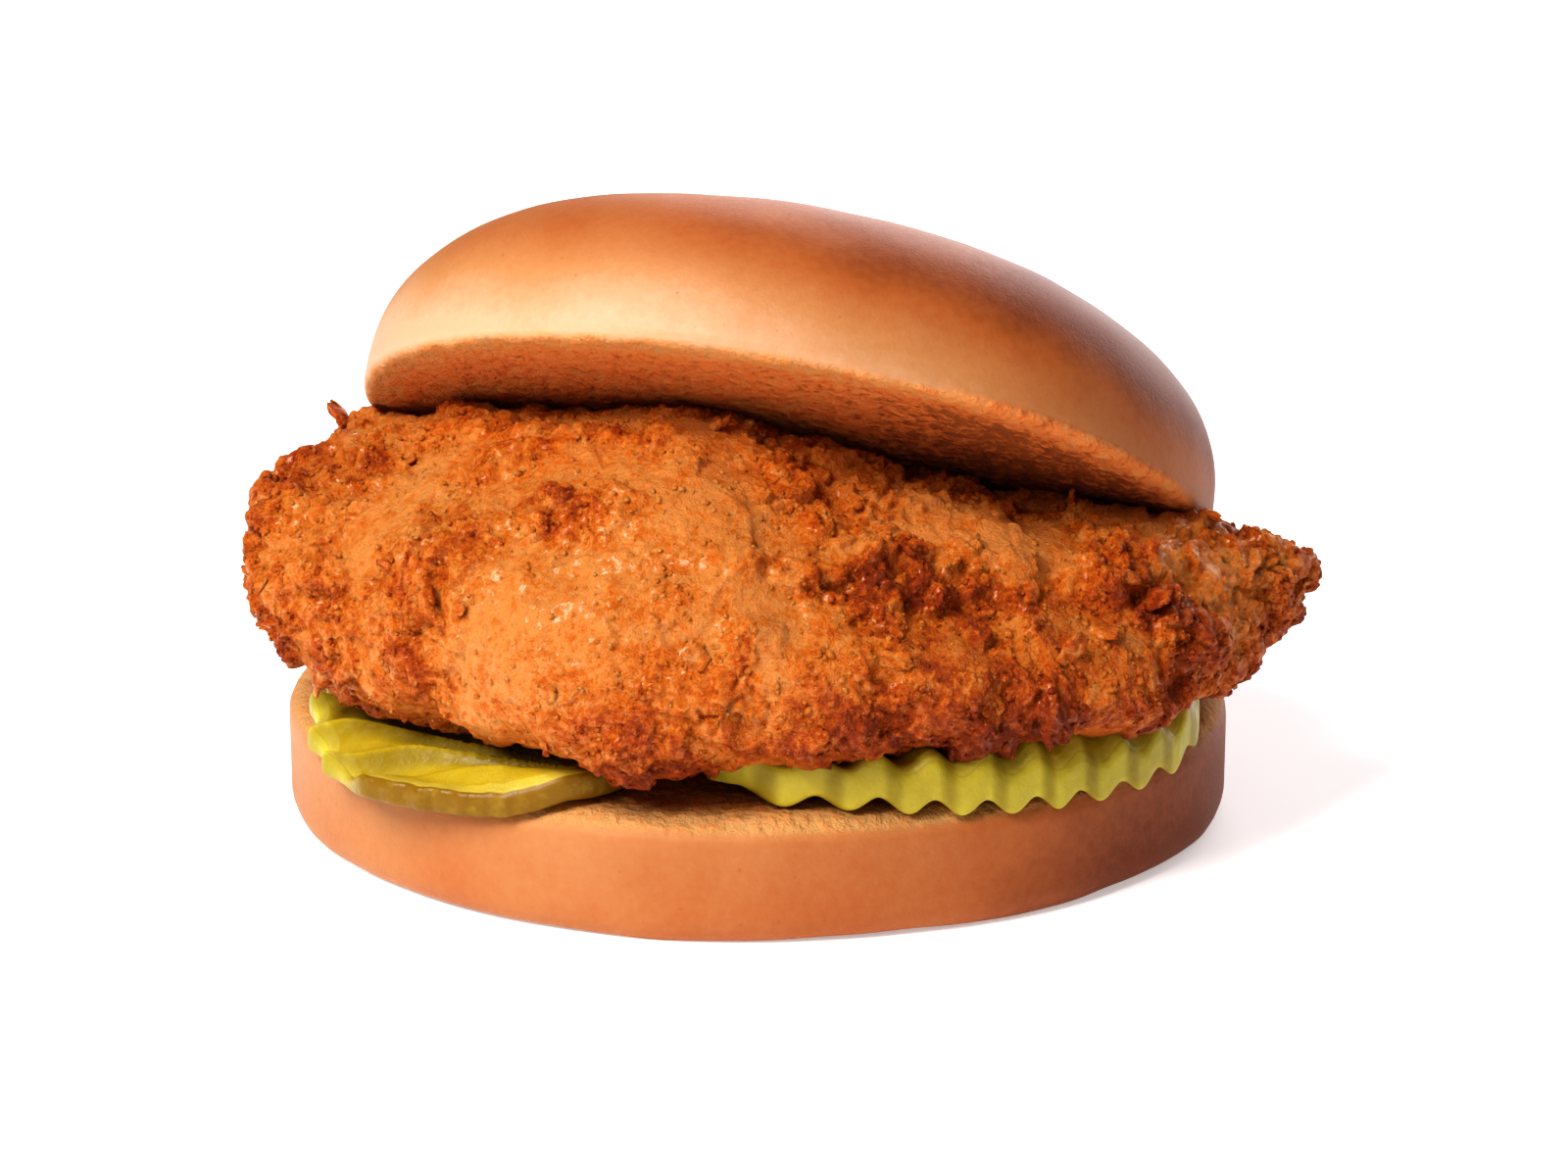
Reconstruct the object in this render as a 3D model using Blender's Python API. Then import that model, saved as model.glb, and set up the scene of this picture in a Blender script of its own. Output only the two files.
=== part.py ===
"""Chicken burger: a split soft bun, two crinkle-cut pickle slices and one thick breaded fillet.

The bun's lower half stands on its flat base at the origin, +Z is up and the open mouth faces -Y.
The upper half leans back and to the right: its far rim rests on the lower half and its
underside rests on the fillet. Every length is in metres.
"""

import math

import bmesh
import bpy
from mathutils import Vector

MM = 0.001
GAP = 0.35 * MM

# Lower half of the bun
HEEL_RADIUS = 52.6 * MM
HEEL_BASE_RADIUS = 50.4 * MM
HEEL_HEIGHT = 13.5 * MM
HEEL_SHOULDER_WIDTH = 3.6 * MM
HEEL_SHOULDER_DROP = 2.8 * MM
HEEL_STEPS = 80

# Upper half of the bun, drawn upright about its own axis and then leaned over
CROWN_RADIUS = 47.9 * MM
CROWN_EDGE = 1.6 * MM
CROWN_DOME = 23.8 * MM
CROWN_DOME_POWER = 2.6
CROWN_CENTRE = Vector((2.9 * MM, 1.0 * MM, 37.3 * MM))
CROWN_AXIS = Vector((0.178, 0.470, 0.864)).normalized()
CROWN_STEPS = 72

# Pickle slices: an oval outline, a wave cut on both faces, and an edge that sags over the bun.
# "ridges" is the direction across the ridges, and "shift" the distance from the centre to a groove.
PICKLE_SAG_START = 50.4 * MM
PICKLE_SAG_END = 54.6 * MM
PICKLE_LEFT = {
    "centre": (-27.9 * MM, -24.7 * MM),
    "half_length": 24.9 * MM,
    "half_width": 17.9 * MM,
    "turn": math.radians(-52.0),
    "ridges": math.radians(94.0),
    "pitch": 7.4 * MM,
    "shift": 0.0 * MM,
    "wave": 1.1 * MM,
    "thickness": 3.2 * MM,
    "sag": 2.2 * MM,
}
PICKLE_RIGHT = {
    "centre": (21.2 * MM, -27.3 * MM),
    "half_length": 30.0 * MM,
    "half_width": 19.0 * MM,
    "turn": math.radians(32.0),
    "ridges": math.radians(25.0),
    "pitch": 5.82 * MM,
    "shift": -2.16 * MM,
    "wave": 1.4 * MM,
    "thickness": 4.5 * MM,
    "sag": 2.6 * MM,
}
PICKLE_ROWS = 10
PICKLE_COLUMNS_PER_WAVE = 5

# Fillet: cross-sections along X, in millimetres. Each is
# (x, front y, back y, underside z, top z, y of the top, underside z at the back).
FILLET_SECTIONS = [
    (-54.2, -19.0, 0.0, 25.0, 37.0, -9.0, 25.0),
    (-51.5, -24.5, 9.0, 22.4, 39.2, -6.0, 21.0),
    (-47.0, -29.0, 17.0, 20.6, 41.4, 0.0, 16.5),
    (-39.0, -36.0, 24.0, 18.8, 44.6, 4.0, 14.0),
    (-30.0, -43.0, 28.0, 18.2, 47.2, -3.0, 13.9),
    (-20.0, -50.0, 31.0, 17.8, 48.4, -9.0, 13.9),
    (-8.0, -53.0, 33.0, 16.0, 50.6, -18.0, 13.9),
    (4.0, -53.5, 34.0, 18.0, 47.0, -15.0, 13.9),
    (16.0, -51.0, 33.0, 19.6, 42.0, -11.0, 13.9),
    (28.0, -47.0, 28.5, 19.8, 38.8, -9.0, 13.9),
    (39.0, -40.0, 22.0, 19.8, 38.0, -12.0, 13.9),
    (48.0, -30.0, 13.0, 20.0, 36.2, -13.0, 14.5),
    (54.5, -21.0, 4.0, 20.6, 34.8, -11.0, 18.0),
    (58.6, -16.0, -3.0, 22.6, 33.6, -10.0, 22.0),
    (60.5, -13.5, -6.0, 25.0, 32.0, -9.8, 25.0),
]
FILLET_LEFT_TIP = (-55.3, -10.0, 31.0)
FILLET_RIGHT_TIP = (61.3, -10.0, 28.5)
FILLET_STATIONS = 38
FILLET_AROUND = 44
FILLET_SIDE_HEIGHT = 0.34
FILLET_BACK_HEIGHT = 0.12
FILLET_UPPER_POWER = 2.2
FILLET_LOWER_POWER = 3.4
# Broad swellings and folds of the front face: (x, height share, size along X, swell)
FILLET_SWELLINGS = [
    (-24.0, 0.42, 11.0, 2.6),
    (-2.5, 0.35, 3.2, -1.7),
    (7.0, 0.50, 6.0, 1.2),
    (-41.0, 0.62, 6.0, 1.4),
    (24.0, 0.80, 5.0, 1.0),
    (33.0, 0.45, 4.0, -1.0),
    (44.0, 0.55, 6.0, 1.1),
]


def clear_scene():
    for obj in list(bpy.data.objects):
        bpy.data.objects.remove(obj, do_unlink=True)


def material(name, colour, roughness):
    made = bpy.data.materials.new(name)
    made.use_nodes = True
    shader = made.node_tree.nodes["Principled BSDF"]
    shader.inputs["Base Color"].default_value = (*colour, 1.0)
    shader.inputs["Roughness"].default_value = roughness
    shader.inputs["Metallic"].default_value = 0.0
    return made


def bun_crust():
    return material("bun_crust", (0.58, 0.25, 0.09), 0.55)


def breading():
    return material("fried_breading", (0.52, 0.17, 0.035), 0.5)


def pickle_flesh():
    return material("pickle_flesh", (0.42, 0.36, 0.03), 0.25)


def add_object(name, bm, finish):
    """Turns the bmesh into an object with outward faces and smooth shading."""
    bmesh.ops.remove_doubles(bm, verts=bm.verts, dist=1e-6)
    bmesh.ops.recalc_face_normals(bm, faces=bm.faces)
    mesh = bpy.data.meshes.new(name)
    bm.to_mesh(mesh)
    bm.free()
    for polygon in mesh.polygons:
        polygon.use_smooth = True
    mesh.materials.append(finish)
    obj = bpy.data.objects.new(name, mesh)
    bpy.context.scene.collection.objects.link(obj)
    return obj


def turned(profile, steps):
    """A bmesh made by turning a profile of (radius, height) points once round Z."""
    bm = bmesh.new()
    points = [bm.verts.new((radius, 0.0, height)) for radius, height in profile]
    edges = [bm.edges.new(pair) for pair in zip(points, points[1:])]
    bmesh.ops.spin(
        bm,
        geom=points + edges,
        cent=(0.0, 0.0, 0.0),
        axis=(0.0, 0.0, 1.0),
        angle=math.tau,
        steps=steps,
        use_merge=True,
        use_duplicate=False,
    )
    bmesh.ops.remove_doubles(bm, verts=bm.verts, dist=1e-6)
    return bm


def heel_top(radius):
    """Height of the lower half's upper surface at a distance from its axis."""
    inner = HEEL_RADIUS - HEEL_SHOULDER_WIDTH
    if radius <= inner:
        return HEEL_HEIGHT
    share = min(1.0, (radius - inner) / HEEL_SHOULDER_WIDTH)
    return HEEL_HEIGHT - HEEL_SHOULDER_DROP * (1.0 - math.sqrt(1.0 - share * share))


def heel_profile():
    profile = [(0.0, 0.0), (HEEL_BASE_RADIUS, 0.0)]
    corner = HEEL_RADIUS - HEEL_BASE_RADIUS
    for step in range(1, 5):
        turn = step / 4 * math.pi / 2
        profile.append((HEEL_BASE_RADIUS + corner * math.sin(turn), 3.2 * MM * (1.0 - math.cos(turn))))
    inner = HEEL_RADIUS - HEEL_SHOULDER_WIDTH
    for step in range(7):
        turn = step / 6 * math.pi / 2
        radius = inner + HEEL_SHOULDER_WIDTH * math.cos(turn)
        profile.append((radius, heel_top(radius)))
    profile.append((0.0, HEEL_HEIGHT))
    return profile


def crown_profile():
    """Flat cut face, a small rounded rim and a full dome, from the axis out and back."""
    flat = CROWN_RADIUS - CROWN_EDGE
    profile = [(0.0, 0.0), (flat, 0.0)]
    for step in range(1, 5):
        turn = step / 4 * math.pi / 2
        profile.append((flat + CROWN_EDGE * math.sin(turn), CROWN_EDGE * (1.0 - math.cos(turn))))
    for step in range(1, 14):
        turn = step / 14 * math.pi / 2
        radius = CROWN_RADIUS * math.cos(turn) ** (2.0 / CROWN_DOME_POWER)
        height = CROWN_EDGE + CROWN_DOME * math.sin(turn) ** (2.0 / CROWN_DOME_POWER)
        profile.append((radius, height))
    profile.append((0.0, CROWN_EDGE + CROWN_DOME))
    return profile


def crown_underside(x, y):
    """Height of the plane of the upper half's cut face."""
    lean = CROWN_AXIS.x * (x - CROWN_CENTRE.x) + CROWN_AXIS.y * (y - CROWN_CENTRE.y)
    return CROWN_CENTRE.z - lean / CROWN_AXIS.z


def oval_radius(slice_, angle):
    """Distance from a slice's centre to its outline in a direction."""
    local = angle - slice_["turn"]
    along = math.cos(local) / slice_["half_length"]
    across = math.sin(local) / slice_["half_width"]
    return 1.0 / math.hypot(along, across)


def sag(slice_, x, y):
    """How far a slice droops where it reaches past the bun's edge."""
    share = (math.hypot(x, y) - PICKLE_SAG_START) / (PICKLE_SAG_END - PICKLE_SAG_START)
    share = max(0.0, min(1.0, share))
    return slice_["sag"] * share * share * (3.0 - 2.0 * share)


def slice_top(slice_):
    """Highest level of a slice's upper face."""
    return HEEL_HEIGHT + GAP + slice_["wave"] + slice_["thickness"]


def chord(slice_, across):
    """Both ends of the line that one ridge cuts across a slice's outline, as distances along it."""
    ridge = slice_["ridges"]
    ends = []
    for direction in (-1.0, 1.0):
        low, high = 0.0, 40.0 * MM
        for _ in range(40):
            middle = (low + high) / 2
            offset_x = across * math.cos(ridge) - direction * middle * math.sin(ridge)
            offset_y = across * math.sin(ridge) + direction * middle * math.cos(ridge)
            angle = math.atan2(offset_y, offset_x)
            inside = math.hypot(offset_x, offset_y) < oval_radius(slice_, angle)
            low, high = (middle, high) if inside else (low, middle)
        ends.append(direction * low)
    return ends


def crinkle_slice(slice_):
    """A wavy slab. Columns step across the ridges, and rows run along them between the outline's ends."""
    bm = bmesh.new()
    centre_x, centre_y = slice_["centre"]
    ridge = slice_["ridges"]
    reach = 0.985 * oval_radius(slice_, ridge)
    columns = round(2 * reach / slice_["pitch"] * PICKLE_COLUMNS_PER_WAVE)
    sheets = ([], [])
    for column in range(columns + 1):
        across = reach * math.sin(math.pi / 2 * (0.35 * (2 * column / columns - 1)))
        across = across / math.sin(math.pi / 2 * 0.35)
        first, last = chord(slice_, across)
        turns = (across - slice_["shift"]) / slice_["pitch"]
        wave = 0.5 * slice_["wave"] * (1.0 - math.cos(math.tau * turns))
        lines = ([], [])
        for row in range(PICKLE_ROWS + 1):
            share = 0.5 - 0.5 * math.cos(math.pi * row / PICKLE_ROWS)
            along = first + (last - first) * share
            x = centre_x + across * math.cos(ridge) - along * math.sin(ridge)
            y = centre_y + across * math.sin(ridge) + along * math.cos(ridge)
            under = wave - sag(slice_, x, y)
            lines[0].append(bm.verts.new((x - centre_x, y - centre_y, under)))
            lines[1].append(bm.verts.new((x - centre_x, y - centre_y, under + slice_["thickness"])))
        sheets[0].append(lines[0])
        sheets[1].append(lines[1])
    for sheet in sheets:
        for near, far in zip(sheet, sheet[1:]):
            for index in range(PICKLE_ROWS):
                bm.faces.new((near[index], near[index + 1], far[index + 1], far[index]))
    lower, upper = sheets
    for index in range(columns):
        for end in (0, PICKLE_ROWS):
            corners = (lower[index][end], lower[index + 1][end], upper[index + 1][end], upper[index][end])
            bm.faces.new(corners)
    for column in (0, columns):
        for index in range(PICKLE_ROWS):
            corners = (lower[column][index], lower[column][index + 1])
            bm.faces.new((*corners, upper[column][index + 1], upper[column][index]))
    return bm


def section_at(x):
    """The fillet's cross-section sizes at x, by a smooth curve through the listed sections."""
    rows = FILLET_SECTIONS
    index = 0
    while index < len(rows) - 2 and x > rows[index + 1][0]:
        index += 1
    before = rows[max(index - 1, 0)]
    start = rows[index]
    end = rows[index + 1]
    after = rows[min(index + 2, len(rows) - 1)]
    span = end[0] - start[0]
    share = (x - start[0]) / span
    sizes = []
    for part in range(1, 7):
        slope_in = (end[part] - before[part]) / (end[0] - before[0]) * span
        slope_out = (after[part] - start[part]) / (after[0] - start[0]) * span
        cube = share**3
        square = share**2
        value = (2 * cube - 3 * square + 1) * start[part] + (cube - 2 * square + share) * slope_in
        value += (3 * square - 2 * cube) * end[part] + (cube - square) * slope_out
        sizes.append(value)
    return sizes


def swelling(x, height_share):
    """How far the front face stands out of its plain section, in millimetres."""
    total = 0.0
    for at_x, at_height, size, swell in FILLET_SWELLINGS:
        along = (x - at_x) / size
        upward = (height_share - at_height) / 0.33
        total += swell * math.exp(-0.5 * (along * along + upward * upward))
    return total


def floor_under(x, y):
    """Lowest level that the fillet may reach: the bun's cut face or the pickle beneath it."""
    level = HEEL_HEIGHT + GAP
    for slice_ in (PICKLE_LEFT, PICKLE_RIGHT):
        offset_x = x - slice_["centre"][0]
        offset_y = y - slice_["centre"][1]
        angle = math.atan2(offset_y, offset_x)
        outside = math.hypot(offset_x, offset_y) - oval_radius(slice_, angle) - 2.4 * MM
        level = max(level, slice_top(slice_) + GAP - 0.65 * max(0.0, outside))
    return level


def fillet_point(x, angle):
    """One point of the fillet's skin: angle 0 is its back, a quarter turn is its top."""
    front, back, bottom, top, top_y, back_bottom = section_at(x)
    power = FILLET_UPPER_POWER if math.sin(angle) > 0 else FILLET_LOWER_POWER
    across = math.cos(angle)
    upward = math.copysign(max(0.0, 1.0 - abs(across) ** power) ** (1.0 / power), math.sin(angle))
    y = top_y + across * ((back - top_y) if across > 0 else (top_y - front))
    blend = 0.5 + 0.5 * across
    bottom += (back_bottom - bottom) * max(0.0, min(1.0, 2.0 * blend - 0.7))
    side = FILLET_SIDE_HEIGHT * (1.0 - blend) + FILLET_BACK_HEIGHT * blend
    middle = bottom + side * (top - bottom)
    z = middle + upward * ((top - middle) if upward > 0 else (middle - bottom))
    if across < 0:
        y += swelling(x, (z - bottom) / (top - bottom)) * across
    point = Vector((x * MM, y * MM, z * MM))
    highest = crown_underside(point.x, point.y) - GAP / CROWN_AXIS.z
    lowest = floor_under(point.x, point.y)
    point.z = max(lowest, min(point.z, highest))
    return point


def fillet_body():
    """The fillet's skin, ring by ring along X, closed to a tip at each end."""
    bm = bmesh.new()
    first = FILLET_SECTIONS[0][0]
    last = FILLET_SECTIONS[-1][0]
    rings = []
    for station in range(FILLET_STATIONS + 1):
        share = 0.5 - 0.5 * math.cos(math.pi * station / FILLET_STATIONS)
        share = 0.4 * share + 0.6 * station / FILLET_STATIONS
        x = first + (last - first) * share
        ring = []
        for step in range(FILLET_AROUND):
            ring.append(bm.verts.new(fillet_point(x, math.tau * step / FILLET_AROUND)))
        rings.append(ring)
    for near, far in zip(rings, rings[1:]):
        for index in range(FILLET_AROUND):
            following = (index + 1) % FILLET_AROUND
            bm.faces.new((near[index], near[following], far[following], far[index]))
    for ring, tip in ((rings[0], FILLET_LEFT_TIP), (rings[-1], FILLET_RIGHT_TIP)):
        end = bm.verts.new(Vector(tip) * MM)
        for index in range(FILLET_AROUND):
            bm.faces.new((ring[index], ring[(index + 1) % FILLET_AROUND], end))
    return bm


def make_heel():
    return add_object("heel", turned(heel_profile(), HEEL_STEPS), bun_crust())


def make_crown():
    crown = add_object("crown", turned(crown_profile(), CROWN_STEPS), bun_crust())
    crown.location = CROWN_CENTRE
    crown.rotation_mode = "QUATERNION"
    crown.rotation_quaternion = Vector((0.0, 0.0, 1.0)).rotation_difference(CROWN_AXIS)
    return crown


def make_pickle(name, slice_):
    pickle = add_object(name, crinkle_slice(slice_), pickle_flesh())
    pickle.location = (*slice_["centre"], HEEL_HEIGHT + GAP)
    return pickle


def make_fillet():
    return add_object("chicken_fillet", fillet_body(), breading())


def main():
    clear_scene()
    make_heel()
    make_pickle("pickle_left", PICKLE_LEFT)
    make_pickle("pickle_right", PICKLE_RIGHT)
    make_fillet()
    make_crown()


main()
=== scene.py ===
"""Chicken burger: the looks of a split soft bun, a thick breaded fillet and two crinkle-cut pickle slices.

The burger stands on its flat base at the origin and its open mouth faces -Y. Sizes are in metres
where they are settings or come from the frame. Names that end in _MM hold millimetres, and the
relief of every surface is worked out in millimetres.
"""

import math

import bmesh
import bpy
import numpy as np
from bpy.props import FloatProperty, FloatVectorProperty, IntProperty, PointerProperty
from mathutils import Matrix, Vector, noise
from mathutils.bvhtree import BVHTree


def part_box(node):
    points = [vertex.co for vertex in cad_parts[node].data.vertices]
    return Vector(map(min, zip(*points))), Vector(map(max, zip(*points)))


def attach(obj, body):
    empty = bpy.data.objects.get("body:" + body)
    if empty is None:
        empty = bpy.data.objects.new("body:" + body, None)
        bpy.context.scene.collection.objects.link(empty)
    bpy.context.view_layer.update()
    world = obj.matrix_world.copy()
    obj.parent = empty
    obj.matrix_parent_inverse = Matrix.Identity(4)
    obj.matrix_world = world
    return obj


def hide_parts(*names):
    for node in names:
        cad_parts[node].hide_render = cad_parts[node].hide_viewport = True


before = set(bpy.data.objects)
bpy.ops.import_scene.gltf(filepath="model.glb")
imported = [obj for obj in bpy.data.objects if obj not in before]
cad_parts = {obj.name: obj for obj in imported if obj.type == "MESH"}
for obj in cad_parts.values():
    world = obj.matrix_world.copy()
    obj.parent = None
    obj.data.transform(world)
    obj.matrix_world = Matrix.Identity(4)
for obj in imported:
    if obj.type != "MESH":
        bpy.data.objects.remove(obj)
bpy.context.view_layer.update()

bl_info = {
    "name": "Chicken burger",
    "version": (1, 0, 0),
    "blender": (4, 5, 0),
    "location": "View3D > Sidebar > Burger",
    "description": "Soft bun, breaded chicken fillet and crinkle-cut pickle slices",
    "category": "Add Mesh",
}

MM = 0.001
BODY = "root"

# Places taken from the frame
HEEL_LOW, HEEL_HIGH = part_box("heel")
HEEL_TOP_MM = HEEL_HIGH.z / MM

# Lower half of the bun
HEEL_CORNER_MM = (2.2, 3.2)
HEEL_SHOULDER_MM = (3.6, 2.8)

# Upper half of the bun: the centre of its cut face and the way that its dome points
CROWN_CENTRE_MM = Vector((2.9, 1.0, 37.3))
CROWN_AXIS = Vector((0.178, 0.470, 0.864)).normalized()
CROWN_EDGE_MM = 1.6
CROWN_DOME_POWER = 2.6

# Pickle slices, with the gap under them
PICKLE_GAP_MM = 0.35
PICKLE_SAG_FROM_MM = (50.4, 54.6)
PICKLE_RIM_MM = 1.5
# Rows of mesh points over the top, round the rim and underneath
PICKLE_ROWS = (60, 16, 24)
# Ridges run along a direction, or fan out from the point "meet" and start at a first crest line.
# "lobes" are (direction in degrees, width in degrees, extra radius), "folds" is (x, reach, depth),
# The glassy skin key is (x where paler skin starts, x where it is palest, share elsewhere), and that
# pale skin is partly a painted highlight; "shaded" is a short step towards the side of each ridge
# that gets painted shade.
PICKLES = {
    "pickle_left": {
        "centre": (-27.9, -24.7),
        "half_length": 24.9,
        "half_width": 17.9,
        "turn": math.radians(-52.0),
        "ridges": 0.0,
        "meet": (-14.0, -46.5),
        "pitch": 2.85,
        "first_crest": 3.8,
        "wave": 1.7,
        "crest_drop": 0.9,
        "under_wave": 0.3,
        "roundness": 1.0,
        "thickness": 3.2,
        "sag": 2.2,
        "jut": 1.3,
        "lobes": ((-138.0, 28.0, 1.8), (-38.0, 20.0, -3.6)),
        "folds": (-33.0, 7.0, 0.55),
        "glassy": (-41.0, -46.0, 0.0),
        "shaded": (0.0, -0.25),
    },
    "pickle_right": {
        "centre": (21.2, -27.3),
        "half_length": 30.0,
        "half_width": 19.0,
        "turn": math.radians(32.0),
        "ridges": math.radians(25.0),
        "meet": None,
        "pitch": 5.82,
        "first_crest": 0.75,
        "wave": 1.6,
        "crest_drop": 0.0,
        "under_wave": 1.5,
        "roundness": 1.8,
        "thickness": 4.6,
        "sag": 2.9,
        "jut": -0.15,
        "lobes": (),
        "folds": (-6.0, 4.0, 0.35),
        "glassy": (9.0, -3.0, 0.72),
        "shaded": (0.25, 0.0),
    },
}

# Places on the fillet that differ from the rest:
# (x, y, z, reach, more or less craggy, more or less browned, stands out), in millimetres and shares
FILLET_PLACES_MM = [
    # Left swelling and the craggy ridge over it
    (-21.0, -50.0, 34.0, 8.0, -0.60, -0.26, 0.6),
    (-30.0, -46.0, 29.0, 7.0, -0.45, -0.12, 0.2),
    (-17.0, -53.0, 27.0, 7.0, -0.10, 0.22, 0.0),
    (-39.0, -25.0, 40.0, 6.0, -0.30, -0.35, 0.3),
    (-34.0, -36.0, 38.5, 3.6, 0.45, -0.22, 1.9),
    (-29.0, -41.5, 37.0, 3.2, 0.50, -0.10, 1.8),
    (-21.0, -38.0, 43.0, 3.4, 0.45, 0.10, 1.4),
    (-14.0, -41.0, 44.0, 3.2, 0.50, 0.14, 1.5),
    (-25.0, -26.0, 46.0, 4.5, 0.20, -0.10, 1.1),
    # Left edge
    (-54.0, -13.0, 36.0, 7.0, 0.40, -0.32, -0.2),
    (-45.6, -30.6, 31.7, 2.0, 0.30, 0.40, -1.3),
    (-51.6, -23.0, 24.6, 6.0, 0.30, -0.25, -0.6),
    # Middle: gold above, an upright fold with a pale strand, pale knobs low down and a hanging lobe
    (-7.0, -40.0, 46.0, 8.0, -0.35, -0.24, 0.0),
    (-0.9, -47.9, 40.0, 1.8, 0.20, -0.20, 1.0),
    (0.1, -51.9, 34.6, 1.8, 0.30, -0.15, 1.1),
    (-3.5, -52.7, 28.5, 3.2, 0.20, -0.40, 0.9),
    (-2.5, -52.5, 23.5, 2.8, 0.30, -0.40, 1.0),
    (-9.5, -49.0, 18.5, 6.0, 0.10, -0.05, 0.5),
    (-13.0, -52.0, 22.0, 4.0, 0.15, 0.05, 0.0),
    (6.0, -54.0, 31.0, 6.5, -0.50, -0.05, 0.3),
    # Right part: a pale folded step, grooves, and a ragged tip
    (48.0, -24.6, 33.8, 6.0, -0.25, -0.50, 0.0),
    (8.0, -46.6, 38.4, 2.6, 0.30, 0.10, -0.4),
    (12.5, -44.4, 37.7, 3.0, 0.30, 0.10, 0.9),
    (24.0, -33.5, 38.0, 6.0, -0.34, -0.95, 1.2),
    (19.5, -28.0, 39.6, 4.6, -0.10, -0.60, 0.9),
    (23.6, -44.5, 33.5, 2.8, 0.40, 0.10, -0.6),
    (36.0, -41.6, 28.4, 5.0, -0.60, -0.25, 0.3),
    (28.4, -43.9, 22.1, 4.5, 0.60, -0.10, 0.2),
    (43.0, -31.0, 33.0, 3.2, 0.40, -0.25, 1.0),
    (46.5, -30.0, 31.5, 1.5, 0.10, 0.20, -1.2),
    (58.0, -15.0, 30.0, 4.5, 0.35, -0.20, -0.7),
    (56.0, -18.5, 24.0, 3.5, 0.35, -0.10, -0.4),
]
# Large loose flakes: (x, y, z, length, width, turn about the surface in degrees, tilt in degrees),
# and the thickness, curl and toast that they share
LARGE_FLAKES_MM = [
    (32.2, -43.6, 28.0, 3.6, 2.2, 60.0, 18.0),
    (34.0, -42.6, 24.6, 3.4, 2.6, -5.0, 14.0),
    (13.0, -51.4, 31.4, 3.0, 1.8, -8.0, 14.0),
    (36.0, -39.4, 32.0, 3.0, 2.4, -20.0, 16.0),
]
LARGE_FLAKE_THICKNESS_MM = 1.1
LARGE_FLAKE_CURL_MM = 0.25
LARGE_FLAKE_TOAST = 0.34
FLAKE_SUNK_MM = 0.25

# Colours of small things in the finishes
CRUST_FRECKLE = (0.30, 0.10, 0.03)
CRUMB_TAN = (0.62, 0.26, 0.08)
# Pale glassy skin, partly a painted highlight on the end of a slice that faces the key light
PICKLE_PALE_SKIN = (0.66, 0.58, 0.07)
# Painted shade on the side of each ridge that faces away from the light
PICKLE_GROOVE = (0.20, 0.135, 0.004)
PICKLE_DEEP = (0.20, 0.125, 0.006)
PICKLE_CLOUD = (0.42, 0.32, 0.04)
PICKLE_SEED = (0.46, 0.37, 0.10)
PEPPER = (0.14, 0.030, 0.006)
PALE_GLINT = (0.88, 0.42, 0.11)

# The way that the bun's mouth opens: the breading's mesh is finer there
OPEN_WAY = Vector((0.0, -0.86, 0.5))
# What the breading stays clear of, and by how much; loose pieces of it keep further away
NEIGHBOURS = ("heel_bread", "crown_bread", "pickle_left_slice", "pickle_right_slice")
BREADING_GAP_MM = 0.15
BREADING_SMOOTHING = 0.12
LOOSE_GAP_MM = 1.1

# Camera: what it looks at, how far away it stands and how high
VIEW_TARGET_MM = Vector((3.12, 0.0, 24.2))
VIEW_DISTANCE = 0.6596
VIEW_ELEVATION = math.radians(15.7)
VIEW_LENS = 135.0
FLOOR_RADIUS = 3.0
FLOOR_GLOW = 0.30
# Softboxes: (power setting, degrees left of the camera, degrees up, distance, side, colour)
SOFTBOXES = {
    "key_light": ("key_power", 42.0, 44.0, 0.9, 0.45, (1.0, 1.0, 1.0)),
    "fill_light": ("fill_power", 5.0, 8.0, 1.0, 0.8, (1.0, 1.0, 1.0)),
    "rim_light": ("rim_power", -155.0, 16.0, 0.9, 0.9, (1.0, 0.95, 0.97)),
}


class BurgerBunSettings(bpy.types.PropertyGroup):
    """Sizes and colours of both halves of the bun."""

    heel_radius: FloatProperty(
        name="Heel radius", description="Radius of the lower half of the bun",
        default=(HEEL_HIGH.x - HEEL_LOW.x) / 2, unit="LENGTH",
    )
    heel_height: FloatProperty(
        name="Heel height", description="Thickness of the lower half of the bun",
        default=HEEL_HIGH.z - HEEL_LOW.z, unit="LENGTH",
    )
    crown_radius: FloatProperty(
        name="Crown radius", description="Radius of the upper half of the bun",
        default=0.0479, unit="LENGTH",
    )
    crown_dome: FloatProperty(
        name="Crown dome", description="Height of the upper half's dome over its rounded rim",
        default=0.0238, unit="LENGTH",
    )
    mesh_spacing: FloatProperty(
        name="Mesh spacing", description="Distance between the bun's mesh points",
        default=0.00075, unit="LENGTH",
    )
    crust_pale: FloatVectorProperty(
        name="Pale crust", description="Crust near the cut, which baked least",
        default=(0.56, 0.335, 0.205), size=3, subtype="COLOR",
    )
    crust_tan: FloatVectorProperty(
        name="Tan crust", description="Crust round the sides",
        default=(0.45, 0.205, 0.080), size=3, subtype="COLOR",
    )
    crust_brown: FloatVectorProperty(
        name="Brown crust", description="Crust on top of the dome",
        default=(0.38, 0.115, 0.030), size=3, subtype="COLOR",
    )
    crust_dark: FloatVectorProperty(
        name="Dark crust", description="Crust that baked most",
        default=(0.19, 0.038, 0.004), size=3, subtype="COLOR",
    )
    crumb_pale: FloatVectorProperty(
        name="Pale crumb", description="Untoasted crumb at the edge of the cut",
        default=(0.54, 0.29, 0.11), size=3, subtype="COLOR",
    )
    crumb_toasted: FloatVectorProperty(
        name="Toasted crumb", description="Crumb of the toasted cut faces",
        default=(0.66, 0.20, 0.050), size=3, subtype="COLOR",
    )


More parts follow.
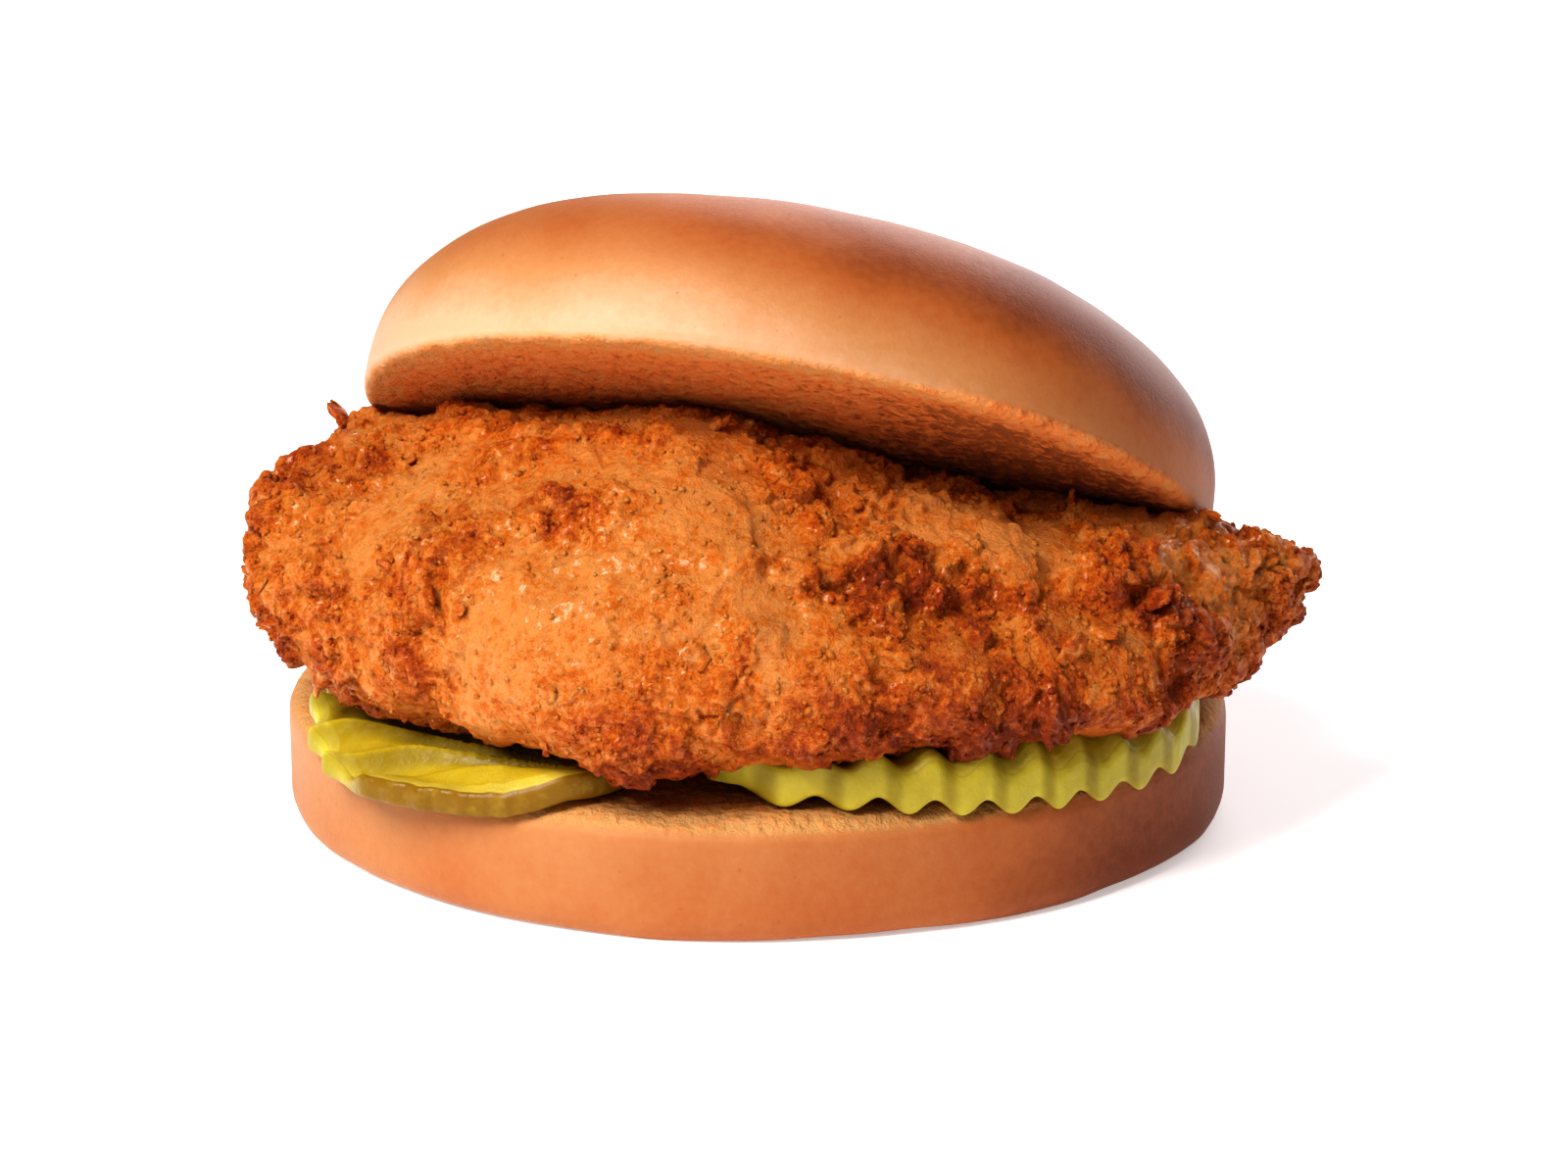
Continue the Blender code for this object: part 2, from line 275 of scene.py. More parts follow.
class BurgerPickleSettings(bpy.types.PropertyGroup):
    """Colours and mesh of the pickle slices."""

    flesh: FloatVectorProperty(
        name="Flesh", description="Yellow flesh of the slices",
        default=(0.41, 0.295, 0.016), size=3, subtype="COLOR",
    )
    skin: FloatVectorProperty(
        name="Skin", description="Olive skin round the slices",
        default=(0.21, 0.105, 0.003), size=3, subtype="COLOR",
    )
    cut_edge: FloatVectorProperty(
        name="Cut edge", description="Pale line where the cut face meets the skin",
        default=(0.50, 0.40, 0.06), size=3, subtype="COLOR",
    )
    steps: IntProperty(
        name="Steps", description="Mesh points round each slice",
        default=500, min=60,
    )


class BurgerBreadingSettings(bpy.types.PropertyGroup):
    """Relief, colours and loose pieces of the breading."""

    mesh_spacing: FloatProperty(
        name="Mesh spacing",
        description="Distance between mesh points on the hidden side; the open side has half of it",
        default=0.00068, unit="LENGTH",
    )
    relief: FloatProperty(
        name="Relief", description="Strength of the breading's lumps and ledges",
        default=1.0, min=0.0, max=2.0, subtype="FACTOR",
    )
    flakes: IntProperty(
        name="Flakes", description="Number of small raised flakes",
        default=140, min=0,
    )
    crumbs: IntProperty(
        name="Crumbs", description="Number of crumbs stuck to the breading",
        default=8500, min=0,
    )
    seed: IntProperty(
        name="Seed", description="Changes the small relief, and where the flakes and crumbs lie",
        default=11,
    )
    pale: FloatVectorProperty(
        name="Pale breading", description="Breading on the smooth swellings",
        default=(0.74, 0.290, 0.072), size=3, subtype="COLOR",
    )
    golden: FloatVectorProperty(
        name="Golden breading", description="Most of the breading",
        default=(0.66, 0.180, 0.014), size=3, subtype="COLOR",
    )
    browned: FloatVectorProperty(
        name="Browned breading", description="Breading that fried longer",
        default=(0.46, 0.082, 0.003), size=3, subtype="COLOR",
    )
    # Painted shade in deep creases takes this colour, as do thin edges that fried longest
    darkest: FloatVectorProperty(
        name="Darkest breading", description="Breading in deep creases and on thin edges",
        default=(0.27, 0.040, 0.003), size=3, subtype="COLOR",
    )


class BurgerStageSettings(bpy.types.PropertyGroup):
    """Strengths of the studio lights and colour of the floor."""

    key_power: FloatProperty(
        name="Key light", description="Power of the large light at the front left",
        default=9.5, unit="POWER",
    )
    fill_power: FloatProperty(
        name="Fill light", description="Power of the weak light low in front",
        default=1.2, unit="POWER",
    )
    rim_power: FloatProperty(
        name="Rim light", description="Power of the light behind the burger",
        default=7.0, unit="POWER",
    )
    sky: FloatProperty(
        name="Sky", description="Brightness of the even light from all round",
        default=0.12, min=0.0,
    )
    floor: FloatVectorProperty(
        name="Floor", description="Colour of the floor",
        default=(0.90, 0.90, 0.90), size=3, subtype="COLOR",
    )


# ---------------------------------------------------------------- helpers


def smoothstep(low, high, value):
    """Eases from 0 at the first limit to 1 at the second, which may be the lower one."""
    share = min(1.0, max(0.0, (value - low) / (high - low)))
    return share * share * (3.0 - 2.0 * share)


def resampled(outline, spacing):
    """The same outline of (x, y) points, with points at an even spacing."""
    points = np.array(outline)
    lengths = np.concatenate([[0.0], np.cumsum(np.hypot(*np.diff(points, axis=0).T))])
    count = int(lengths[-1] / spacing) + 1
    places = np.linspace(0.0, lengths[-1], count)
    return np.stack([np.interp(places, lengths, points[:, axis]) for axis in (0, 1)], axis=1)


def add_piece(name, points_mm, faces, finish, node=None, values=None):
    """A smooth shaded mesh that rides on the burger, with its named values at every point."""
    mesh = bpy.data.meshes.new(name)
    mesh.from_pydata([tuple(point) for point in np.asarray(points_mm) * MM], [], faces)
    mesh.update()
    for label, numbers in (values or {}).items():
        layer = mesh.attributes.new(label, "FLOAT", "POINT")
        layer.data.foreach_set("value", np.asarray(numbers, dtype=np.float32))
    mesh.polygons.foreach_set("use_smooth", [True] * len(mesh.polygons))
    mesh.materials.append(finish)
    piece = bpy.data.objects.new(name, mesh)
    bpy.context.scene.collection.objects.link(piece)
    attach(piece, BODY)
    if node:
        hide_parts(node)
    return piece


def grid_faces(rows, columns):
    """Quads of a grid whose columns close on themselves, between pole points 0 and the last."""
    faces = []
    last = 1 + rows * columns
    for column in range(columns):
        following = (column + 1) % columns
        faces.append((0, 1 + following, 1 + column))
        bottom = 1 + (rows - 1) * columns
        faces.append((last, bottom + column, bottom + following))
    for row in range(rows - 1):
        near = 1 + row * columns
        far = near + columns
        for column in range(columns):
            following = (column + 1) % columns
            faces.append((near + column, near + following, far + following, far + column))
    return faces


# ---------------------------------------------------------------- shader helpers and groups


def feed(tree, socket, value):
    """Links a socket to another, or sets it to a plain value."""
    if isinstance(value, bpy.types.NodeSocket):
        tree.links.new(value, socket)
    elif hasattr(value, "__len__") and len(value) == 3 and socket.type == "RGBA":
        socket.default_value = (*value, 1.0)
    else:
        socket.default_value = value


def add_node(tree, kind, column, row, **settings):
    made = tree.nodes.new(kind)
    made.location = (column * 200.0, row * -180.0)
    for name, value in settings.items():
        setattr(made, name, value)
    return made


def math_node(tree, operation, column, row, *values):
    made = add_node(tree, "ShaderNodeMath", column, row, operation=operation)
    for socket, value in zip(made.inputs, values):
        feed(tree, socket, value)
    return made.outputs[0]


def mix_colours(tree, column, row, share, first, second):
    made = add_node(tree, "ShaderNodeMix", column, row, data_type="RGBA")
    feed(tree, made.inputs["Factor"], share)
    feed(tree, made.inputs[6], first)
    feed(tree, made.inputs[7], second)
    return made.outputs[2]


def spread(tree, column, row, value, low, high, to_low, to_high):
    """Carries a value from one range to another, and keeps it inside."""
    made = add_node(tree, "ShaderNodeMapRange", column, row)
    for socket, number in zip(made.inputs, (value, low, high, to_low, to_high)):
        feed(tree, socket, number)
    return made.outputs[0]


def share_of(tree, column, row, mask, most):
    """A mask from 0 to 1, carried to 0 to "most"."""
    return spread(tree, column, row, mask, 0.0, 1.0, 0.0, most)


def plus_minus(tree, column, row, value, most):
    """A value from 0 to 1, carried to -"most" to "most"."""
    return spread(tree, column, row, value, 0.0, 1.0, -most, most)


def overlaid(tree, column, row, base, overlays):
    """Lays colours over a base colour, each as (share, colour)."""
    for step, (share, colour) in enumerate(overlays):
        base = mix_colours(tree, column + step, row, share, base, colour)
    return base


def colour_ramp(tree, column, row, share, stops):
    made = add_node(tree, "ShaderNodeValToRGB", column, row)
    ramp = made.color_ramp
    while len(ramp.elements) < len(stops):
        ramp.elements.new(0.5)
    for element, (place, colour) in zip(ramp.elements, stops):
        element.position = place
        element.color = (*colour, 1.0)
    feed(tree, made.inputs["Fac"], share)
    return made.outputs["Color"]


def surface_value(tree, column, row, name):
    return add_node(tree, "ShaderNodeAttribute", column, row, attribute_name=name).outputs["Fac"]


def place_group(tree, group, column, row, **values):
    """Puts a shared effect into a material, with the material's own values."""
    made = add_node(tree, "ShaderNodeGroup", column, row, node_tree=group)
    for name, value in values.items():
        feed(tree, made.inputs[name], value)
    return made.outputs


def new_group(name, inputs, outputs):
    """An empty group with float sockets, each input as (name, default)."""
    group = bpy.data.node_groups.new(name, "ShaderNodeTree")
    for label, default in inputs:
        socket = group.interface.new_socket(label, in_out="INPUT", socket_type="NodeSocketFloat")
        socket.default_value = default
    for label in outputs:
        group.interface.new_socket(label, in_out="OUTPUT", socket_type="NodeSocketFloat")
    start = add_node(group, "NodeGroupInput", -4, 0)
    end = add_node(group, "NodeGroupOutput", 4, 0)
    return group, start.outputs, end.inputs


def mottle_group():
    """Soft uneven patches of about a given size in metres, from 0 to 1."""
    if "mottle" in bpy.data.node_groups:
        return bpy.data.node_groups["mottle"]
    group, given, result = new_group("mottle", [("Size", 0.006), ("Contrast", 1.0)], ["Value"])
    place = add_node(group, "ShaderNodeTexCoord", -3, 1).outputs["Object"]
    scale = math_node(group, "DIVIDE", -3, 0, 1.0, given["Size"])
    texture = add_node(group, "ShaderNodeTexNoise", -2, 0)
    feed(group, texture.inputs["Vector"], place)
    feed(group, texture.inputs["Scale"], scale)
    texture.inputs["Detail"].default_value = 4.0
    texture.inputs["Roughness"].default_value = 0.6
    centred = math_node(group, "SUBTRACT", -1, 0, texture.outputs["Fac"], 0.5)
    stronger = math_node(group, "MULTIPLY", 0, 0, centred, given["Contrast"])
    doubled = math_node(group, "MULTIPLY", 1, 0, stronger, 2.2)
    moved = math_node(group, "ADD", 2, 0, doubled, 0.5)
    moved.node.use_clamp = True
    feed(group, result["Value"], moved)
    return group


def grain_group():
    """Close set rounded grains of about a given size in metres, with finer grit over them."""
    if "grain" in bpy.data.node_groups:
        return bpy.data.node_groups["grain"]
    group, given, result = new_group("grain", [("Size", 0.0005), ("Grit", 0.4)], ["Height", "Grit"])
    place = add_node(group, "ShaderNodeTexCoord", -3, 1).outputs["Object"]
    scale = math_node(group, "DIVIDE", -3, 0, 1.0, given["Size"])
    fine_scale = math_node(group, "MULTIPLY", -2, 2, scale, 2.3)
    warp = add_node(group, "ShaderNodeTexNoise", -2, 3)
    feed(group, warp.inputs["Vector"], place)
    feed(group, warp.inputs["Scale"], scale)
    cells = add_node(group, "ShaderNodeTexVoronoi", -1, 0, feature="F1")
    feed(group, cells.inputs["Vector"], place)
    feed(group, cells.inputs["Scale"], scale)
    grit = add_node(group, "ShaderNodeTexNoise", -1, 2)
    feed(group, grit.inputs["Vector"], place)
    feed(group, grit.inputs["Scale"], fine_scale)
    grit.inputs["Detail"].default_value = 4.0
    grit.inputs["Roughness"].default_value = 0.7
    rounded = math_node(group, "SUBTRACT", 0, 0, 1.0, cells.outputs["Distance"])
    gritty = math_node(group, "MULTIPLY", 0, 2, grit.outputs["Fac"], given["Grit"])
    wavy = math_node(group, "MULTIPLY", 0, 1, rounded, warp.outputs["Fac"])
    both = math_node(group, "ADD", 1, 0, wavy, gritty)
    feed(group, result["Height"], both)
    feed(group, result["Grit"], grit.outputs["Fac"])
    return group


def specks_group():
    """Small scattered specks: their spacing and radius in metres, and the share that shows."""
    if "specks" in bpy.data.node_groups:
        return bpy.data.node_groups["specks"]
    inputs = [("Spacing", 0.002), ("Radius", 0.15), ("Share", 0.4)]
    group, given, result = new_group("specks", inputs, ["Mask"])
    place = add_node(group, "ShaderNodeTexCoord", -3, 1).outputs["Object"]
    scale = math_node(group, "DIVIDE", -3, 0, 1.0, given["Spacing"])
    cells = add_node(group, "ShaderNodeTexVoronoi", -2, 0)
    feed(group, cells.inputs["Vector"], place)
    feed(group, cells.inputs["Scale"], scale)
    apart = add_node(group, "ShaderNodeSeparateColor", -1, 1)
    feed(group, apart.inputs[0], cells.outputs["Color"])
    shown = math_node(group, "LESS_THAN", 0, 1, apart.outputs[0], given["Share"])
    inner = math_node(group, "MULTIPLY", 0, 2, given["Radius"], 0.6)
    soft = spread(group, 1, 0, cells.outputs["Distance"], inner, given["Radius"], 1.0, 0.0)
    feed(group, result["Mask"], math_node(group, "MULTIPLY", 2, 0, soft, shown))
    return group


def new_finish(name):
    """An empty material with its shader: (material, tree, shader)."""
    finish = bpy.data.materials.new(name)
    finish.use_nodes = True
    tree = finish.node_tree
    shader = tree.nodes["Principled BSDF"]
    shader.location = (1400.0, 0.0)
    tree.nodes["Material Output"].location = (1700.0, 0.0)
    return finish, tree, shader


def translucent(shader, weight, depth, radius):
    """Lets light in under the surface to a depth in metres."""
    shader.inputs["Subsurface Weight"].default_value = weight
    shader.inputs["Subsurface Scale"].default_value = depth
    shader.inputs["Subsurface Radius"].default_value = radius


def bumped(tree, column, row, height, depth, before=None):
    """A bump of that depth in metres, laid over an earlier one."""
    made = add_node(tree, "ShaderNodeBump", column, row)
    made.inputs["Strength"].default_value = 1.0
    made.inputs["Distance"].default_value = depth
    feed(tree, made.inputs["Height"], height)
    if before is not None:
        feed(tree, made.inputs["Normal"], before)
    return made.outputs["Normal"]


# ---------------------------------------------------------------- finishes


def bun_finish(bun):
    """Baked crust, and toasted crumb where the bun is cut, with painted shade towards the right on the crust
    and on the upper half's crumb.
    """
    if "soft_bun" in bpy.data.materials:
        return bpy.data.materials["soft_bun"]
    finish, tree, shader = new_finish("soft_bun")
    bake = surface_value(tree, -4, 0, "bake")
    cut = surface_value(tree, -4, 4, "cut")
    toast = surface_value(tree, -4, 6, "toast")
    broad = place_group(tree, mottle_group(), -4, 1, Size=0.012, Contrast=1.0)["Value"]
    close = place_group(tree, mottle_group(), -4, 2, Size=0.0011, Contrast=1.0)["Value"]
    crumbly = place_group(tree, mottle_group(), -4, 5, Size=0.0013, Contrast=1.2)["Value"]
    fine = place_group(tree, grain_group(), -4, 3, Size=0.00042, Grit=0.6)
    specks = place_group(tree, specks_group(), -4, 7, Spacing=0.0021, Radius=0.11, Share=0.35)["Mask"]

    uneven = math_node(tree, "ADD", -2, 0, bake, plus_minus(tree, -3, 1, broad, 0.07))
    freckled = math_node(tree, "ADD", -2, 1, uneven, plus_minus(tree, -3, 2, close, 0.05))
    crust_stops = [
        (0.0, bun.crust_pale),
        (0.35, bun.crust_tan),
        (0.72, bun.crust_brown),
        (1.0, bun.crust_dark),
    ]
    crust = colour_ramp(tree, -1, 0, freckled, crust_stops)
    speckled = mix_colours(tree, 0, 0, share_of(tree, -1, 3, specks, 0.45), crust, CRUST_FRECKLE)

    streaky = math_node(tree, "ADD", -2, 6, toast, plus_minus(tree, -3, 5, crumbly, 0.28))
    darkest = [0.5 * part for part in bun.crumb_toasted]
    crumb_stops = [(0.0, bun.crumb_pale), (0.45, CRUMB_TAN), (0.75, bun.crumb_toasted), (1.0, darkest)]
    crumb = colour_ramp(tree, -1, 5, streaky, crumb_stops)
    feed(tree, shader.inputs["Base Color"], mix_colours(tree, 2, 0, cut, speckled, crumb))

    smooth = spread(tree, -1, 2, fine["Grit"], 0.3, 0.7, 0.42, 0.58)
    rough = math_node(tree, "ADD", 1, 3, smooth, math_node(tree, "MULTIPLY", 0, 4, cut, 0.3))
    feed(tree, shader.inputs["Roughness"], rough)
    pores = math_node(tree, "MULTIPLY", 0, 5, crumbly, cut)
    normal = bumped(tree, 2, 4, fine["Height"], 0.00004)
    normal = bumped(tree, 3, 4, pores, 0.0004, normal)
    feed(tree, shader.inputs["Normal"], normal)
    translucent(shader, 0.22, 0.0022, (1.0, 0.42, 0.18))
    shader.inputs["Specular IOR Level"].default_value = 0.25
    return finish


def pickle_finish(pickle):
    """Wet yellow flesh and olive skin that let light through, with painted shade on one side of each ridge
    and a painted highlight on pale skin towards one end.
    """
    if "wet_pickle" in bpy.data.materials:
        return bpy.data.materials["wet_pickle"]
    finish, tree, shader = new_finish("wet_pickle")
    skin = surface_value(tree, -4, 0, "skin")
    shaded = surface_value(tree, -4, -1, "shaded")
    broad = place_group(tree, mottle_group(), -4, 1, Size=0.007, Contrast=1.2)["Value"]
    close = place_group(tree, mottle_group(), -4, 2, Size=0.0016, Contrast=1.2)["Value"]
    fine = place_group(tree, grain_group(), -4, 3, Size=0.0009, Grit=0.3)
    seeds = place_group(tree, specks_group(), -4, 4, Spacing=0.0026, Radius=0.16, Share=0.3)["Mask"]
    stops = [
        (0.0, pickle.flesh),
        (0.42, pickle.flesh),
        (0.52, pickle.cut_edge),
        (0.66, pickle.skin),
        (1.0, pickle.skin),
    ]
    base = colour_ramp(tree, -2, 0, skin, stops)
    on_skin = spread(tree, -3, -2, skin, 0.5, 0.7, 0.0, 0.8)
    # Pale glassy skin, partly a painted highlight on the end that faces the key light
    glassy = math_node(tree, "MULTIPLY", -2, -2, on_skin, surface_value(tree, -4, -2, "glassy"))
    overlays = [
        (glassy, PICKLE_PALE_SKIN),
        (share_of(tree, -3, -1, shaded, 0.80), PICKLE_GROOVE),
        (spread(tree, -3, 1, broad, 0.2, 1.0, 0.0, 0.40), PICKLE_DEEP),
        (spread(tree, -3, 2, close, 0.5, 1.0, 0.0, 0.20), PICKLE_CLOUD),
        (share_of(tree, -3, 4, seeds, 0.20), PICKLE_SEED),
    ]
    feed(tree, shader.inputs["Base Color"], overlaid(tree, -1, 0, base, overlays))
    feed(tree, shader.inputs["Roughness"], spread(tree, 0, 2, close, 0.0, 1.0, 0.30, 0.55))
    normal = bumped(tree, 1, 3, close, 0.00008)
    normal = bumped(tree, 2, 3, fine["Height"], 0.00004, normal)
    feed(tree, shader.inputs["Normal"], normal)
    translucent(shader, 0.22, 0.0016, (1.0, 0.85, 0.16))
    shader.inputs["Specular IOR Level"].default_value = 0.22
    shader.inputs["Coat Weight"].default_value = 0.08
    shader.inputs["Coat Roughness"].default_value = 0.10
    return finish


def breading_finish(breading):
    """Fried breading: gold to deep brown, granular and slightly oily, with painted glints."""
    if "crisp_breading" in bpy.data.materials:
        return bpy.data.materials["crisp_breading"]
    finish, tree, shader = new_finish("crisp_breading")
    toast = surface_value(tree, -4, 0, "toast")
    broad = place_group(tree, mottle_group(), -4, 1, Size=0.0034, Contrast=1.4)["Value"]
    close = place_group(tree, mottle_group(), -4, 2, Size=0.0008, Contrast=1.8)["Value"]
    grains = place_group(tree, grain_group(), -4, 3, Size=0.00052, Grit=1.5)
    pepper = place_group(tree, specks_group(), -4, 5, Spacing=0.0021, Radius=0.085, Share=0.30)["Mask"]
    # Painted highlights: small pale glints laid into the colour
    glints = place_group(tree, specks_group(), -4, 6, Spacing=0.0009, Radius=0.20, Share=0.30)["Mask"]

    patchy = math_node(tree, "ADD", -2, 0, toast, plus_minus(tree, -3, 1, broad, 0.20))
    sandy = spread(tree, -3, 3, grains["Grit"], 0.3, 0.7, 0.22, -0.22)
    close_by = math_node(tree, "ADD", -2, 2, sandy, plus_minus(tree, -3, 2, close, -0.20))
    grainy = math_node(tree, "ADD", -1, 0, patchy, close_by)
    stops = [
        (0.0, breading.pale),
        (0.35, breading.golden),
        (0.68, breading.browned),
        (1.0, breading.darkest),
    ]
    overlays = [
        (share_of(tree, -3, 5, pepper, 0.60), PEPPER),
        (share_of(tree, -3, 6, glints, 0.30), PALE_GLINT),
    ]
    fried = overlaid(tree, 1, 0, colour_ramp(tree, 0, 0, grainy, stops), overlays)
    feed(tree, shader.inputs["Base Color"], fried)
    feed(tree, shader.inputs["Roughness"], spread(tree, 0, 2, grains["Grit"], 0.35, 0.65, 0.28, 0.60))
    feed(tree, shader.inputs["Coat Weight"], spread(tree, 0, 3, close, 0.50, 0.85, 0.0, 0.35))
    shader.inputs["Coat Roughness"].default_value = 0.15
    shader.inputs["Specular IOR Level"].default_value = 0.30
    normal = bumped(tree, 1, 4, close, 0.00015)
    normal = bumped(tree, 2, 4, grains["Height"], 0.00030, normal)
    feed(tree, shader.inputs["Normal"], normal)
    translucent(shader, 0.25, 0.0014, (1.0, 0.36, 0.12))
    return finish


# ---------------------------------------------------------------- bun


def crust_relief(point):
    """Gentle unevenness of the baked crust."""
    return 0.45 * noise.noise(point / 21.0) + 0.12 * noise.noise(point / 7.0)


def crumb_relief(point):
    """Torn open pores of a cut face, mostly below the surface."""
    torn = abs(noise.noise(point / 2.4)) + 0.6 * abs(noise.noise(point / 1.3))
    return 0.16 * noise.noise(point / 6.0) - 0.34 * (1.0 - min(1.0, 2.2 * torn))


def turned_bread(name, outline, steps, place, shares, finish, node):
    """Turns an outline of (radius, height) into bread: crust relief on the crust and pores on the cut.

    "shares" holds functions of a point and its ring of the outline: bake with painted shade, cut, and toast
    with painted shade.
    """
    slopes = np.gradient(outline, axis=0)
    slopes /= np.linalg.norm(slopes, axis=1, keepdims=True)
    points = []
    values = {label: [] for label in shares}

    def add(point, ring, normal=None):
        moved = point
        if normal is not None:
            cut = shares["cut"](point, ring)
            relief = crust_relief(point) * (1.0 - cut) + crumb_relief(point) * cut
            moved = point + normal * relief
        moved = place @ moved
        moved.z = max(0.0, moved.z)
        points.append(moved)
        for label, share in shares.items():
            values[label].append(share(point, ring))

    add(Vector((0.0, 0.0, outline[0][1])), outline[0])
    for (radius, height), (along_r, along_h) in list(zip(outline, slopes))[1:-1]:
        for step in range(steps):
            angle = math.tau * step / steps
            outward = Vector((math.cos(angle), math.sin(angle), 0.0))
            wander = 1.0 + 0.007 * noise.noise(outward * 1.3 + Vector((0.0, 0.0, 4.0)))
            point = outward * radius * wander + Vector((0.0, 0.0, height))
            add(point, (radius, height), outward * along_h - Vector((0.0, 0.0, along_r)))
    add(Vector((0.0, 0.0, outline[-1][1])), outline[-1])
    return add_piece(name, points, grid_faces(len(outline) - 2, steps), finish, node, values)


def heel_outline(bun):
    """From the middle of the base, up the side and over the shoulder to the middle of the cut."""
    radius = bun.heel_radius / MM
    height = bun.heel_height / MM
    corner, rise = HEEL_CORNER_MM
    width, drop = HEEL_SHOULDER_MM
    outline = [(0.0, 0.0), (radius - corner, 0.0)]
    for step in range(1, 13):
        turn = step / 12 * math.pi / 2
        outline.append((radius - corner + corner * math.sin(turn), rise * (1.0 - math.cos(turn))))
    for step in range(17):
        share = math.cos(step / 16 * math.pi / 2)
        level = height - drop * (1.0 - math.sqrt(1.0 - share * share))
        outline.append((radius - width + width * share, level))
    outline.append((0.0, height))
    return resampled(outline, bun.mesh_spacing / MM)


def crown_outline(bun):
    """From the middle of the cut, round the rim and over the dome to its top."""
    radius = bun.crown_radius / MM
    dome = bun.crown_dome / MM
    power = 2.0 / CROWN_DOME_POWER
    flat = radius - CROWN_EDGE_MM
    outline = [(0.0, 0.0), (flat, 0.0)]
    for step in range(1, 9):
        turn = step / 8 * math.pi / 2
        outline.append((flat + CROWN_EDGE_MM * math.sin(turn), CROWN_EDGE_MM * (1.0 - math.cos(turn))))
    for step in range(1, 90):
        turn = step / 90 * math.pi / 2
        outline.append((radius * math.cos(turn) ** power, CROWN_EDGE_MM + dome * math.sin(turn) ** power))
    outline.append((0.0, CROWN_EDGE_MM + dome))
    return resampled(outline, bun.mesh_spacing / MM)


def bread_steps(radius_mm, bun):
    return int(math.tau * radius_mm / (bun.mesh_spacing / MM) * 0.9)


def make_heel(bun):
    radius = bun.heel_radius / MM
    height = bun.heel_height / MM

    def cut_share(point, ring):
        if ring[0] < radius - HEEL_SHOULDER_MM[0] - 0.1:
            return float(ring[1] > height / 2)
        return smoothstep(height - 2.0, height - 0.9, ring[1])

    def bake_at(point, ring):
        side = smoothstep(0.0, height, ring[1])
        under = 0.30 if ring[1] < 0.6 and ring[0] < radius - 2.0 else 0.0
        # Painted shade: the crust darkens towards the right, the side away from the key light
        towards_right = 0.12 * point.x / radius + 0.32 * smoothstep(16.0, 48.0, point.x)
        return 0.63 - 0.12 * side + under + 0.10 * noise.noise(point / 17.0) + towards_right

    def toast_at(point, ring):
        return 0.08 + 0.46 * smoothstep(radius - 2.4, radius - 7.5, ring[0] + 1.2 * noise.noise(point / 4.0))

    shares = {"bake": bake_at, "cut": cut_share, "toast": toast_at}
    steps = bread_steps(radius, bun)
    place = Matrix.Identity(4)
    return turned_bread("heel_bread", heel_outline(bun), steps, place, shares, bun_finish(bun), "heel")


def make_crown(bun):
    radius = bun.crown_radius / MM
    height = CROWN_EDGE_MM + bun.crown_dome / MM
    lean = Vector((0.0, 0.0, 1.0)).rotation_difference(CROWN_AXIS).to_matrix().to_4x4()

    def cut_share(point, ring):
        torn = 0.9 * smoothstep(6.0, 26.0, point.x) * smoothstep(47.0, 41.0, point.x)
        torn += 0.25 * noise.noise(point / 3.0)
        return smoothstep(0.75 + torn, 0.15 + 0.8 * torn, ring[1])

    def bake_at(point, ring):
        browning = 0.16 + 0.66 * smoothstep(0.0, 0.60, ring[1] / height)
        # Painted shade: the crust darkens towards the right, the side away from the key light
        towards_right = 0.28 * point.x / radius + 0.16 * smoothstep(10.0, 44.0, point.x)
        return browning + 0.07 * noise.noise(point / 15.0) + towards_right

    def toast_at(point, ring):
        inside = smoothstep(radius - 1.6, radius - 6.0, ring[0] + 1.2 * noise.noise(point / 4.0))
        # Painted shade: the cut face darkens towards the right, the side away from the key light
        return 0.34 + 0.34 * inside + 0.32 * smoothstep(-2.0, 26.0, point.x)

    shares = {"bake": bake_at, "cut": cut_share, "toast": toast_at}
    steps = bread_steps(radius, bun)
    place = Matrix.Translation(CROWN_CENTRE_MM) @ lean
    return turned_bread("crown_bread", crown_outline(bun), steps, place, shares, bun_finish(bun), "crown")


# ---------------------------------------------------------------- pickles


def oval_radius(slice_, angle):
    """Distance from a slice's centre to its outline in a direction."""
    local = angle - slice_["turn"]
    radius = 1.0 / math.hypot(math.cos(local) / slice_["half_length"], math.sin(local) / slice_["half_width"])
    for towards, width, extra in slice_["lobes"]:
        off = (math.degrees(angle) - towards + 180.0) % 360.0 - 180.0
        radius += extra * math.exp(-((off / width) ** 2))
    return radius


def ridge_height(slice_, x, y):
    """The wave of the crinkle cut, from 0 to 1: crests are sharp, and it dies out where ridges meet."""
    centre_x, centre_y = slice_["centre"]
    fade = 1.0
    if slice_["meet"]:
        meet_x, meet_y = slice_["meet"]
        across = (y - meet_y) * (meet_x - centre_x) / max(2.0, meet_x - x)
        across = max(across, slice_["first_crest"])
        fade = smoothstep(1.0, 10.0, meet_x - x)
    else:
        along_x, along_y = math.cos(slice_["ridges"]), math.sin(slice_["ridges"])
        across = (x - centre_x) * along_x + (y - centre_y) * along_y
    across += 0.04 * slice_["pitch"] * noise.noise(Vector((x, y, 0.0)) / 9.0)
    turns = (across - slice_["first_crest"]) / slice_["pitch"]
    return 1.0 - fade * (math.sin(math.pi * turns) ** 2 + 0.012) ** (slice_["roundness"] / 2)


def ridge_shade(slice_, x, y):
    """Where painted shade goes: 1 on the side of a ridge that falls the slice's "shaded" way, and 0 on its
    crest and other side.
    """
    step_x, step_y = slice_["shaded"]
    fall = ridge_height(slice_, x - step_x, y - step_y) - ridge_height(slice_, x + step_x, y + step_y)
    return smoothstep(0.05, 0.30, fall)


